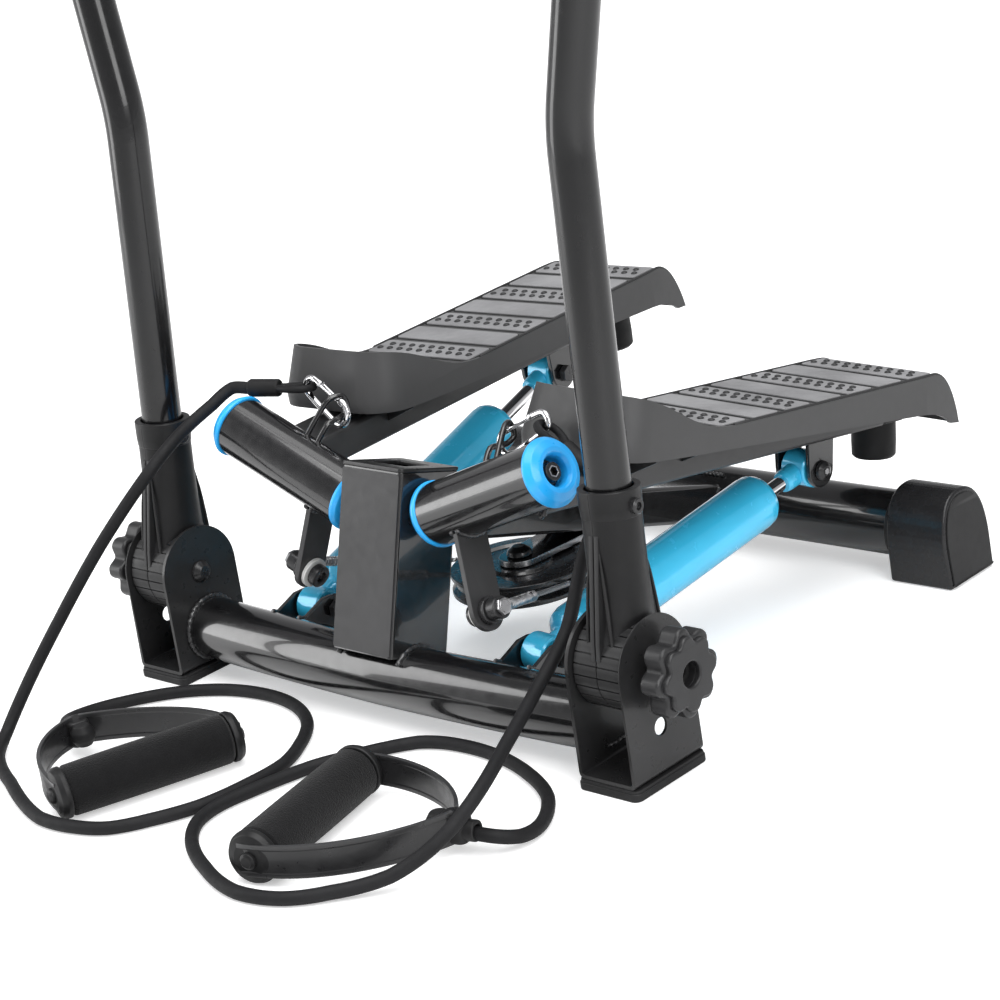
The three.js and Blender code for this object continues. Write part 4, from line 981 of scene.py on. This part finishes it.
def clevis_ears():
    ears = []
    for way in (-1, 1):
        outline = [(141, -41), (142, -66.6)] + arc(156, -66.6, 14, 180, 360, 24) + [(171, -41)]
        inner = 1.8 + way * 14.5
        ears.append(slab_x(outline, min(inner, inner + way * 4), max(inner, inner + way * 4), "gloss", edge=0.8,
                           holes=[circle_at(156, -66.6, 5.4)]))
    bridge = slab(round_rect(-16, 20, 141, 171, 3), -44.6, -41.6, "gloss", edge=0.6)
    return merge(*ears, bridge).placed(PEDAL)


def arm_steel():
    tube_form = lathe([(21.5, 0), (24, 0), (24, 124), (21.5, 124)], "gloss", 88, 0.5).placed(ALONG_X).placed(PIVOT)
    return merge(tube_form, arm_channel(), joint_bead(), lever_plate(), eyelet(), clevis_ears())


def outer_bush():
    end = 124.3
    profile = [(10.6, 102), (21.2, 102), (21.2, end), (25.6, end), (25.8, end + 2.6), (22.5, end + 7.6),
               (17, end + 10.6), (13.4, end + 10.2), (11.6, end + 7), (11.2, end - 1), (10.6, end - 2)]
    return lathe(profile, "blue_plastic", 88, 2.2, 5).placed(ALONG_X).placed(PIVOT)


def inner_bush():
    profile = [(10.6, -10), (18, -9.3), (24, -6.4), (25.5, -3.4), (25.3, -0.2), (21.2, -0.2), (21.2, 20), (10.6, 20)]
    return lathe(profile, "blue_plastic", 88, 1.8, 4).placed(ALONG_X).placed(PIVOT)


def hex_socket_head(radius, low, high, coat="oxide"):
    """A socket-head screw: round head with a softened rim and a six-sided recess."""
    recess = [(radius * 0.52 * math.cos(a), radius * 0.52 * math.sin(a)) for a in np.arange(6) * math.pi / 3]
    head = slab(circle_at(0, 0, radius, 48), low, high, coat, edge=radius * 0.14, holes=[recess], steps=3)
    # the recess floor is a near-black fill: painted shade at the bottom of the hex recess
    floor = rod(low, high - radius * 0.6, radius * 0.6, "painted_recess_shade", 24, 0.2)
    return merge(head, floor)


def axle_bolt():
    washer = ring(9.6, 4.4, 120.4, 122.4, "oxide", 48, 0.4)
    rim = ring(4.6, 3.7, 129, 130.4, "zinc", 6, 0.2)
    body = merge(washer, hex_socket_head(7.2, 122.3, 130), rim, rod(96, 123, 4, "zinc", 24))
    return body.placed(ALONG_X).placed(PIVOT)


DECK_HALF, DECK_FRONT, DECK_REAR = 62, -105, 284
TOE_TOP = 39.5


def deck_outline(shrink, n, steps=10):
    """Plan of the pedal at height n: the toe wall leans back and inwards as it rises, the heel narrows."""
    lean = max(0.0, n) / 40
    side = DECK_HALF - 6.5 * lean - shrink
    front = DECK_FRONT + 13 * lean + shrink
    r = 30 - shrink
    toe = arc(r - side, front + r, r, 180, 270, steps) + arc(side - r, front + r, r, 270, 360, steps)
    return toe + [(side, 236), (side - 5, DECK_REAR - shrink), (5 - side, DECK_REAR - shrink), (-side, 236)]


def levels(shrink, heights):
    return loft([[(v, u, n) for v, u in deck_outline(shrink, n)] for n in heights], "deck")


def bezier(a, b, c, d, count):
    """Points along a cubic curve, without its first."""
    a, b, c, d = (np.array(p, float) for p in (a, b, c, d))
    made = []
    for t in np.arange(1, count + 1) / count:
        made.append(tuple((1 - t) ** 3 * a + 3 * t * (1 - t) ** 2 * b + 3 * t * t * (1 - t) * c + t ** 3 * d))
    return made


HEEL = bezier((246, 0), (262, 0), (274, -14), (283, -45), 14)


def side_view():
    """The pedal from its side: the toe wall falls in a long curve to the tread and the heel curls down."""
    rim = [(-106, TOE_TOP), (-98, TOE_TOP)] + bezier((-98, TOE_TOP), (-40, 30), (-36, 1), (16, 0), 18)
    skirt = [(271, -43.5)] + bezier((271, -43.5), (262, -35), (246, -31), (232, -30), 8)
    lower = [(60, -20)] + bezier((60, -20), (0, -16), (-60, -15), (-106, -8), 8)
    return rim + [(246, 0)] + HEEL + skirt + lower


def pedal_shell():
    outer = worked(levels(0, (-60, 0, 20, 44)), slab_x(side_view(), -90, 90, "deck", edge=0.02),
                   operation="INTERSECT")
    hollow = [(-104, -90), (-104, -4), (246, -4)] + bezier((246, -4), (258, -4), (270, -14), (279, -45), 10)
    under = worked(levels(3.2, (-80, -3.9)), slab_x(hollow + [(279, -90)], -90, 90, "deck", edge=0.02),
                   operation="INTERSECT")
    over = levels(3.2, (0.02, 20, 46))
    notch = block(-28, 28, -108, -96, -30, ARM_TOP + 0.3)
    return cut(outer, over, under, notch, bevel=1.1, angle=42, segments=3)


def gusset(u):
    """Cross rib under the deck that comes down on both sides of the channel."""
    inner = 27.7
    outline = [(-59.5, -3), (-59.5, -14), (-inner, -28), (-inner, ARM_TOP + 0.4), (inner, ARM_TOP + 0.4),
               (inner, -28), (59.5, -14), (59.5, -3)]
    place = placed_at((0, u, 0), (1, 0, 0), (0, 0, 1), (0, -1, 0))
    return slab(outline, -1.5, 1.5, "deck", edge=0.5).placed(place)


def side_rail(side):
    """Raised border along the edge of the tread, running down the heel."""
    path = [(side * 60.2, u, 0.3) for u in np.linspace(14, 236, 24)]
    path += [(side * (60.2 - 5 * (u - 236) / 48), u, n + 0.3) for u, n in [(246, 0)] + HEEL[:-1]]
    return tube(path, 1.4, "deck", 12)


def tread_pad(k):
    """One raised strip; every other one carries two rows of pimples."""
    start = k * 36.2 - 1.8 + 4.1
    half = 57
    outline = round_rect(-half, half, start, start + 28.5, 3)
    # the border is a thin near-black plate: painted shade standing in for the shadow in a groove round the pad
    border = slab(inset(outline, -1.5), -0.5, 0.35, "painted_recess_shade", edge=0.1)
    # the pad's lighter grey is painted light on the same plastic as the deck
    pad = slab(outline, 0, 1.5, "tread", edge=0.5)
    dots = []
    if k % 2 == 0:
        for row, count in ((0, 10), (1, 9)):
            for i in range(count):
                v = (i - (count - 1) / 2) * 11.2
                dot = lathe([(0, 0), (2.9, 0), (2.7, 1.0), (1.4, 1.7), (0, 1.8)], "dot", 16, 0.4, 2)
                dots.append(dot.placed(shift(v, start + 9.3 + 9.6 * row, 1.3)))
    return merge(border, pad, *dots)


def pedal():
    boss = slab(round_rect(-24, 24, 227, 255, 5), -42, -3, "deck", edge=1.0)
    pads = [tread_pad(k) for k in range(7)]
    gussets = [gusset(u) for u in (-67, -8, 51, 111, 171)]
    return merge(pedal_shell(), side_rail(1), side_rail(-1), *pads, *gussets, boss).placed(PEDAL)


def bumper():
    profile = [(0, -74), (15.5, -74), (18, -71.6), (18.4, -60), (18.2, -42.4), (0, -42.4)]
    return lathe(profile, "rubber", 64, 1.6).placed(shift(0, 243.7, 0)).placed(PEDAL)


def cross_pin(half):
    shank = rod(-half, half, 5, "zinc", 32)
    head = lathe([(0, half + 5.4), (4, half + 5.2), (7.4, half + 3), (8.4, half), (0, half)], "oxide", 40, 1.0)
    recess = lathe([(0, half + 5.6), (2.6, half + 5.6), (2.4, half + 5.2), (0, half + 5.1)], "zinc", 6, 0.1)
    nut = hexagon(13, -half - 6, -half, "oxide")
    return merge(shank, head, recess, nut).placed(ALONG_X)


# ---- hydraulic cylinders ---------------------------------------------------------------------------------
def eye_barrel(z, coat):
    sleeve = lathe([(7.6, -12), (13.6, -12), (15, -10.6), (15, 10.6), (13.6, 12), (7.6, 12)], coat, 64, 0.8)
    return sleeve.placed(ALONG_X).placed(shift(0, 0, z))


def cylinder_body():
    profile = [(0, 8), (10, 8), (11, 20), (15.5, 22), (20.8, 26), (22.5, 33), (22.5, 235), (21.8, 241),
               (19.4, 245.4), (15.6, 247.2), (15.2, 249), (9.4, 249.2), (8.4, 247), (7.4, 232), (0, 232)]
    body = lathe(profile, "blue_paint", 96, 2.4, 4)
    seal = ring(8.6, 6.2, 243, 248.4, "rubber", 40, 0.4)
    return merge(body, seal, eye_barrel(0, "blue_paint")).placed(CYLINDER)


def cylinder_rod():
    top = STROKE_LENGTH
    bar = rod(160, top - 22, 6, "chrome", 48)
    neck = lathe([(0, top - 28), (8.2, top - 28), (9.2, top - 24), (9.6, top - 12), (0, top - 12)], "blue_paint", 48, 1)
    lip = slab_x(arc(0, top, 15, -42, 178, 26) + arc(0, top, 12.6, 178, -42, 26), -11.6, 11.6, "blue_paint", edge=0.6)
    return merge(bar, neck, eye_barrel(top, "blue_paint"), lip).placed(CYLINDER)


# ---- cable that couples the pedals -------------------------------------------------------------------------
CABLE_END = vec(55, 150, 61)


def spiral_ribs(start, end, radius, pitch, coat):
    """Fine helical ribs wound round a straight sleeve."""
    along = np.array(end) - np.array(start)
    place = frame_along(start, along, (0, 0, 1))
    length = np.linalg.norm(along)
    turns = length / pitch
    forms = []
    for phase in (0.0, 0.5):
        path = []
        for a in np.arange(0, turns * 2 * math.pi, 0.5):
            b = a + phase * 2 * math.pi
            path.append(apply(place, (radius * math.cos(b), radius * math.sin(b), a / (2 * math.pi) * pitch)))
        forms.append(tube(path, 0.8, coat, 8))
    return forms


def cable_run(trim):
    at = lambda x: apply(PIVOT, (x, *LEVER_REACH))
    direction = unit(CABLE_END - at(42))
    along = lambda distance: at(42) + direction * distance
    head = between(at(21.9), at(14.4), hex_socket_head(9, 0, 7.5))
    washer = between(at(21.8), at(25.3), ring(12, 5.2, 0, 3.5, "nylon", 56, 0.5))
    shank = between(at(18), at(50.4), rod(0, 32.4, 5, "zinc", 32))
    spacer = between(at(30.7), at(36.4), rod(0, 5.7, 10.5, "oxide", 56, 1.0))
    eye = between(at(36.4), at(46.5), rod(0, 10.1, 8.6, "oxide", 48, 1.2))
    nut = between(at(46.6), at(50), hexagon(11.5, 0, 3.4, "zinc"))
    socket_form = between(along(5), along(17), lathe([(0, 0), (6.2, 0), (6, 9), (4.6, 12), (0, 12)], "zinc", 40, 0.8))
    ferrule = between(along(15), along(74), rod(0, 59, 3.4, "zinc", 32))
    ribs = spiral_ribs(along(17), along(72), 3.4, 4.2, "zinc")
    end = CABLE_END - direction * trim
    strand = tube(straight(along(70), end, 12), 1.6, "cable", 16)
    lay = spiral_ribs(along(74), end, 1.25, 9, "cable")
    return merge(head, washer, shank, spacer, eye, nut, socket_form, ferrule, *ribs, strand, *lay)


def cable_wrap():
    path = [(55 * math.cos(a), 150 + 55 * math.sin(a), 61) for a in np.linspace(0, math.pi, 61)]
    return tube(path, 2, "cable", 16)


def pulley():
    profile = [(11, 52), (24, 52), (26, 54), (44, 54), (47, 52), (57, 52), (57, 55.5), (52.6, 58.6), (52.6, 63.4),
               (57, 66.5), (57, 70), (47, 70), (44, 68), (26, 68), (24, 70), (11, 70)]
    return lathe(profile, "pulley", 120, 0.8).placed(shift(0, 150, 0))


finish("pulley", (0.010, 0.010, 0.011), 0.26, clear=0.4, grain=500, depth=0.00002, vary=0.06, wear=0.15)


def pulley_bolt():
    dome = lathe([(0, 84.4), (5, 83.8), (9.4, 80.6), (11, 76.4), (0, 76.4)], "oxide", 48, 1.6)
    shank = rod(38, 78, 5, "zinc", 32)
    washer = ring(10.6, 5, 50, 51.6, "zinc", 48, 0.3)
    nut = hexagon(17, 41, 49.8, "oxide")
    spacer = ring(9.5, 5, 70.4, 71, "zinc", 40, 0.1)
    tip = rod(36, 42, 4.6, "oxide", 32)
    return merge(dome, shank, washer, nut, spacer, tip).placed(shift(0, 150, 0))


# ---- resistance cords ---------------------------------------------------------------------------------------
hook_along = unit(vec(0.87, 0.13, 0.475))
hook_anchor = apply(PIVOT, EYELET_SHOULDER) - hook_along * (2.6 + 2.2 + 1.2)
hook_normal = vec(0.08, 0.92, -0.28)
hook_normal = unit(hook_normal - hook_along * np.dot(hook_normal, hook_along))
HANG = unit(vec(0.85, -0.14, -0.51))
DRAPED = unit(vec(0.897, -0.43, 0.098))
HOOK = frame_along(hook_anchor, hook_normal, hook_along)


def snap_hook():
    wide, narrow, length = 9.6, 7.2, 52
    low = [(38, -7.9, 0)] + [(length - narrow + narrow * math.cos(a), narrow * math.sin(a), 0)
                             for a in np.radians(np.arange(-90, 91, 15))]
    top = [(wide + wide * math.cos(a), wide * math.sin(a), 0) for a in np.radians(np.arange(90, 265, 12))]
    path = low + top + [(11.5, -9.4, 0)]
    ring_form = tube(smooth_path(path, 3), 2.6, "chrome", 24, 0.5)
    catch = tube([(8.6, -9.5, 0), (12.4, -9.4, 0)], 3.0, "chrome", 24, 0.4)
    barrel = rod(-3.4, 3.4, 1.4, "zinc", 20, 0.3).placed(shift(37.6, -8, 0))
    return merge(ring_form, catch, barrel).placed(HOOK)


def snap_gate():
    wires = [tube([(13.4, -8.6, 0.6 * w), (16, -8.4, 1.5 * w), (36.6, -8, 1.9 * w)], 0.95, "chrome", 14) for w in (-1, 1)]
    nose = tube([(12.9, -8.6, -1.2), (12.9, -8.6, 1.2)], 1.1, "chrome", 14)
    hinge = tube([(36.8, -8, -2.6), (36.8, -8, 2.6)], 1.5, "chrome", 16)
    return merge(*wires, nose, hinge).placed(HOOK)


def crimp_ends(lead):
    """Where the cord's eye bears on the hook, and the two ends of its crimp."""
    tip = hook_anchor + hook_along * 44 + lead * 0.6
    return tip, tip + lead * 28, tip + lead * 55


def cord_end(lead):
    """The cord's long eye through the hook, and the smooth sleeve that grips it."""
    tip, start, end = crimp_ends(lead)
    across = unit(np.cross(lead, hook_normal))
    side = np.cross(across, lead)
    leg = [(3, 7), (10, 9.4), (20, 7.4), (28, 4), (34, 3)]
    path = [tip + lead * x - side * y for x, y in leg[::-1]] + [tip] + [tip + lead * x + side * y for x, y in leg]
    eye = tube(smooth_path(path, 6), 3, "cord", 20)
    profile = [(0, 0), (6.2, 0), (7.1, 1.6), (7.2, 25), (6.2, 27), (0, 27)]
    return merge(eye, between(start, end, lathe(profile, "rubber", 48, 1.2)))


def floor_cord(side, lead, path):
    """A cord in one piece, from its crimp to the grip's clamp; it bends between the arm and the floor."""
    _, start, end = crimp_ends(lead)
    if side == "left":
        start, end = apply(RAISED_ARM, start), apply(RAISED_ARM, end)
    along = unit(end - start)
    points = [end - along * 6, end + along * 3, end + along * 15] + [np.array(p, float) for p in path]
    line = smooth_path(points, 10)
    form = tube(line, 5, "cord", 24)
    obj = make(f"{side}_cord_line", form, "rubber", f"{side}_cord")
    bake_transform(obj)


LEFT_CORD = [(-187, 22, 224), (-187, -14, 212), (-187, -52, 192), (-216, -90, 141), (-240, -125, 88), (-254, -157, 44),
             (-256, -184, 13), (-238, -207, 6.4), (-190, -232, 5.2), (-116, -261, 5.2), (-78, -258, 5.2),
             (-52, -247, 5.2), (-34, -224, 5.2), (-17, -191, 5.2), (-11, -150, 5.2), (-12, -114, 5.2),
             (-26, -84, 5.2), (-48, -55, 5.2), (-78, -36, 5.2), (-114, -28, 5.2), (-161, -34.5, 5.2),
             (-200, -57, 5.2), (-225, -88, 5.6), (-235, -114, 7), (-231, -141, 11), (-216, -155, 15), (-203, -158.5, 16)]
RIGHT_CORD = [(182, 58, 172), (178, 47, 155), (176, 37, 140), (177, 24, 120), (183, 3, 99), (186, -34, 74),
              (205, -95, 56), (223, -146, 45), (220, -181, 28), (200, -212, 11), (172, -241, 6.2), (148, -261, 5.4),
              (110, -270, 5.3), (63, -256, 5.2), (24, -234.5, 5.2), (2, -210, 5.2), (-4, -186, 5.2), (-1, -160, 5.2),
              (12, -107, 5.2), (24, -85, 5.2), (57, -40, 5.2), (90, -30, 5.2), (132, -32, 5.2), (173, -45, 5.2),
              (210, -67, 5.2), (234, -102, 5.6), (236, -124, 8), (228, -139, 13), (215, -144.8, 15)]


def grip_frame(x, y, turn):
    a = math.radians(turn)
    return placed_at((x, y, 20), (math.cos(a), math.sin(a), 0), (-math.sin(a), math.cos(a), 0), (0, 0, 1))


GRIPS = {"right": (grip_frame(90.7, -181.9, 13.9), 118, 6), "left": (grip_frame(-84, -181.5, 160.4), 107, 19)}


def grip_foam(place):
    """Foam sleeve, slightly fuller in the middle, with soft ends."""
    half = 63.6
    line = [(12.4, -half), (17, -half), (19.2, -half + 2.4)]
    line += [(19.2 + 0.5 * math.cos(z / 60 * 1.5), z) for z in np.linspace(-52, 52, 9)]
    line += [(19.2, half - 2.4), (17, half), (12.4, half)]
    turned = placed_at((0, 0, 0), (1, 0, 0), (0, 0, -1), (0, 1, 0))
    return lathe(line, "foam", 72, 1.6).placed(turned).placed(place)


def strap_path(reach, lean, way):
    half = 72
    p = [vec(-8, way * half, 0), vec(reach * 0.45, way * (half + 4), 0), vec(reach * 0.85, lean + way * 36, 0),
         vec(reach - 2, lean + way * 3, 0)]
    return [(1 - t) ** 3 * p[0] + 3 * t * (1 - t) ** 2 * p[1] + 3 * t * t * (1 - t) * p[2] + t ** 3 * p[3]
            for t in np.linspace(0, 1, 30)]


def band_section(width, thick):
    """A flat band with thickened edges; the first value runs across its width."""
    half, body = width / 2, thick / 2
    outline = [(-half, -body * 1.25), (-half + 3, -body * 1.25), (-half + 4, -body), (half - 4, -body),
               (half - 3, -body * 1.25), (half, -body * 1.25), (half, body * 1.25), (half - 3, body * 1.25),
               (half - 4, body), (-half + 4, body), (-half + 3, body * 1.25), (-half, body * 1.25)]
    return [tuple(p) for p in eased(outline, 0.5, 2, closed=True)]


def grip_strap(place, reach, lean):
    turned = placed_at((0, 0, 0), (1, 0, 0), (0, 0, -1), (0, 1, 0))
    cap = lathe([(0, 73.4), (12, 73.4), (17.6, 71.6), (19.5, 68), (19.6, 64), (0, 64)], "plastic", 64, 1.4)
    caps = merge(cap, cap.placed(np.diag([1.0, 1, -1, 1])), rod(-64, 64, 12, "plastic", 40)).placed(turned)
    bands = [loft(rings_along(strap_path(reach, lean, way), band_section(24, 2.4), hint=(0, 0, 1)), "strap")
             for way in (1, -1)]
    button = lathe([(0, -2), (6, -2), (6, 2.4), (4, 3.6), (0, 3.8)], "plastic", 40, 0.8)
    ends = []
    for way in (1, -1):
        face = placed_at((0, way * 73.2, 0), (1, 0, 0), (0, 0, 1), (0, way, 0))
        ends.append(button.placed(face))
    body = slab(round_rect(reach - 12, reach + 8, lean - 8.6, lean + 8.6, 6), -11.5, 9.4, "plastic", edge=2.6, steps=4)
    ball = lathe([(0, -9.6), (6, -8.4), (9.4, -3), (9.6, 0), (9.4, 3), (6, 8.4), (0, 9.6)], "rubber", 48, 3, 4)
    stop = ball.placed(shift(reach - 15, lean, 0))
    along = placed_at((reach + 9, lean, -3), (0, 1, 0), (0, 0, 1), (1, 0, 0))
    mouth = ring(7.6, 4.6, -4, 5, "plastic", 40, 1.2).placed(along)
    return merge(caps, *bands, *ends, body, stop, mouth).placed(place)


finish("strap", (0.016, 0.016, 0.017), 0.33, clear=0.1, grain=1300, depth=0.00004, vary=0.07, wear=0.35)


# ---- assembly ---------------------------------------------------------------------------------------------
def build():
    single("front_tube", cross_tube(), "black_paint", "frame", "front_cross_tube")
    single("post", console_post(), "black_paint", "frame", "console_post")
    single("post_top", post_cap(), "satin_paint", "frame", "post_cap")
    single("beam", main_beam(), "black_paint", "frame", "main_beam")
    single("rear_tube", rear_tube(), "black_paint", "frame", "rear_cross_tube")
    pair("foot", rear_foot(), "black_plastic", "frame", "rear_foot")
    pair("bracket", hinge_bracket(), "satin_paint", "frame", "hinge_bracket")
    pair("pad", foot_pad(), "rubber", "frame", "foot_pad")
    pair("hinge_bolt", clamp_bolt(), "steel", "frame", "clamp_bolt")
    pair("knob", clamp_knob(), "black_plastic", "knob", "clamp_knob")
    pair("arm_bolt", axle_bolt(), "steel", "frame", "axle_bolt")
    pair("lower_pin", cross_pin(18.3).placed(shift(122, 39.8, 56)), "steel", "frame", "cylinder_lower_pin")
    pair("socket_half_outer", socket(True), "black_plastic", "handlebar", "socket_outer")
    pair("socket_half_inner", socket(False), "black_plastic", "handlebar", "socket_inner")
    pair("pole", handlebar_pole(), "black_paint", "handlebar", "handlebar_pole")
    single("top_bar", top_bar(), "black_paint", "handlebar", "handlebar_top")
    single("top_foam", handlebar_foam(), "foam", "handlebar", "handlebar_foam")
    pair("arm", arm_steel(), "black_paint", "arm", "arm_steel")
    pair("bush_outer", outer_bush(), "blue_plastic", "arm", "pivot_bush_outer")
    pair("bush_inner", inner_bush(), "blue_plastic", "arm", "pivot_bush_inner")
    pair("foot_plate", pedal(), "grey_plastic", "arm", "pedal")
    pair("bumper", bumper(), "rubber", "arm", "pedal_bumper")
    upper = cross_pin(18.8).placed(shift(1.8, 156, -66.6)).placed(PEDAL)
    pair("upper_pin", upper, "steel", "arm", "cylinder_upper_pin")
    pair("hook", snap_hook(), "chrome", "arm", "snap_hook")
    pair("gate", snap_gate(), "chrome", "gate", "snap_gate")
    pair("cylinder", cylinder_body(), "blue_paint", "cylinder", "cylinder_body")
    pair("rod", cylinder_rod(), "chrome", "rod", "cylinder_rod")
    single("right_run", cable_run(7), "steel", "right_cable", "right_cable_run")
    single("left_run", cable_run(19.9).placed(CABLE_LEFT), "steel", "left_cable", "left_cable_run")
    single("pulley_wheel", pulley(), "black_plastic", "pulley", "pulley")
    single("pulley_cable", cable_wrap(), "steel", "pulley", "cable_wrap")
    single("pulley_screw", pulley_bolt(), "dark_steel", "frame", "pulley_bolt")
    hang, draped = (0.23, 0.06, -0.97), (0.5, -0.83, -0.25)
    single("right_crimp", cord_end(HANG), "rubber", "right_arm", "right_cord_end")
    single("left_crimp", cord_end(DRAPED).placed(RAISED_ARM), "rubber", "left_arm", "left_cord_end")
    floor_cord("right", HANG, RIGHT_CORD)
    floor_cord("left", DRAPED, LEFT_CORD)
    for side, (place, reach, lean) in GRIPS.items():
        single(f"{side}_hand_foam", grip_foam(place), "foam", "frame", f"{side}_grip_foam")
        single(f"{side}_hand_strap", grip_strap(place, reach, lean), "black_plastic", "frame", f"{side}_grip_strap")


build()


# ---- floor, light and camera ----------------------------------------------------------------------------
def stage_floor():
    mesh = bpy.data.meshes.new("floor")
    mesh.from_pydata([(-30, -30, 0), (30, -30, 0), (30, 30, 0), (-30, 30, 0)], [], [(0, 1, 2, 3)])
    floor = bpy.data.objects.new("floor", mesh)
    bpy.context.scene.collection.objects.link(floor)
    material = bpy.data.materials.new("floor")
    n = Nodes(material)
    speck = n.noise(3, 3)
    tint = n.mixed(n.ranged(speck, "Fac", 0, 1), "Result", (0.86, 0.86, 0.86), (0.88, 0.88, 0.88))
    n.tree.links.new(tint.outputs[2], n.shader.inputs["Base Color"])
    n.shader.inputs["Roughness"].default_value = 0.6
    n.shader.inputs["Specular IOR Level"].default_value = 0.1
    glow = n.add("ShaderNodeLightPath")
    n.shader.inputs["Emission Color"].default_value = (1, 1, 1, 1)
    lift = n.add("ShaderNodeMath", operation="MULTIPLY")
    lift.inputs[1].default_value = 0.42
    n.link(glow, "Is Camera Ray", lift, 0)
    n.link(lift, "Value", n.shader, "Emission Strength")
    mesh.materials.append(material)


def area_light(name, location, target, size, power, size_y=None):
    light = bpy.data.lights.new(name, "AREA")
    light.shape = "RECTANGLE"
    light.size, light.size_y = size, size_y or size
    light.energy = power
    obj = bpy.data.objects.new(name, light)
    bpy.context.scene.collection.objects.link(obj)
    obj.location = location
    obj.rotation_mode = "QUATERNION"
    obj.rotation_quaternion = (Vector(target) - Vector(location)).to_track_quat("-Z", "Y")


def studio():
    world = bpy.data.worlds.new("studio")
    bpy.context.scene.world = world
    world.use_nodes = True
    tree = world.node_tree
    tree.nodes.clear()
    out = tree.nodes.new("ShaderNodeOutputWorld")
    seen = tree.nodes.new("ShaderNodeBackground")
    seen.inputs["Color"].default_value = (1, 1, 1, 1)
    seen.inputs["Strength"].default_value = 1.0
    lit = tree.nodes.new("ShaderNodeBackground")
    coords = tree.nodes.new("ShaderNodeTexCoord")
    split = tree.nodes.new("ShaderNodeSeparateXYZ")
    ramp = tree.nodes.new("ShaderNodeValToRGB")
    ramp.color_ramp.elements[0].position = 0.0
    ramp.color_ramp.elements[0].color = (0.75, 0.75, 0.76, 1)
    ramp.color_ramp.elements[1].position = 0.55
    ramp.color_ramp.elements[1].color = (0.36, 0.36, 0.37, 1)
    tree.links.new(coords.outputs["Generated"], split.inputs[0])
    tree.links.new(split.outputs["Z"], ramp.inputs["Fac"])
    tree.links.new(ramp.outputs["Color"], lit.inputs["Color"])
    lit.inputs["Strength"].default_value = 0.8
    path = tree.nodes.new("ShaderNodeLightPath")
    mix = tree.nodes.new("ShaderNodeMixShader")
    tree.links.new(path.outputs["Is Camera Ray"], mix.inputs["Fac"])
    tree.links.new(lit.outputs[0], mix.inputs[1])
    tree.links.new(seen.outputs[0], mix.inputs[2])
    tree.links.new(mix.outputs[0], out.inputs["Surface"])
    sky = bpy.data.lights.new("sky", "SUN")
    sky.energy, sky.angle = 1.9, math.radians(50)
    sky_object = bpy.data.objects.new("sky", sky)
    bpy.context.scene.collection.objects.link(sky_object)
    sky_object.rotation_euler = (math.radians(12), math.radians(10), 0)
    area_light("key", (2.6, -1.0, 2.0), (0, 0.1, 0.4), 1.4, 55, 2.4)
    area_light("fill", (-2.4, -1.8, 1.4), (0, 0, 0.5), 1.2, 45, 2.8)
    area_light("top", (0.2, 0.6, 3.2), (0, 0.1, 0), 2.6, 40)
    bpy.context.scene.view_settings.view_transform = "Standard"


def photo_camera():
    azimuth, elevation, roll = 0.7922, 0.3234, -0.151
    place = vec(1357.4933, -1201.5916, 765.7871) / 1000 + ORIGIN
    ahead = vec(-math.sin(azimuth) * math.cos(elevation), math.cos(azimuth) * math.cos(elevation),
                -math.sin(elevation))
    right = vec(math.cos(azimuth), math.sin(azimuth), 0)
    up = np.cross(right, ahead)
    across = math.cos(roll) * right + math.sin(roll) * up
    upward = -math.sin(roll) * right + math.cos(roll) * up
    data = bpy.data.cameras.new("camera")
    data.sensor_width = 36
    data.lens = 36 * 2.56471
    data.clip_start, data.clip_end = 0.05, 80
    camera = bpy.data.objects.new("camera", data)
    bpy.context.scene.collection.objects.link(camera)
    matrix = placed_at(place, across, upward, -ahead)
    camera.matrix_world = Matrix(matrix.tolist())
    bpy.context.scene.camera = camera


stage_floor()
studio()
photo_camera()
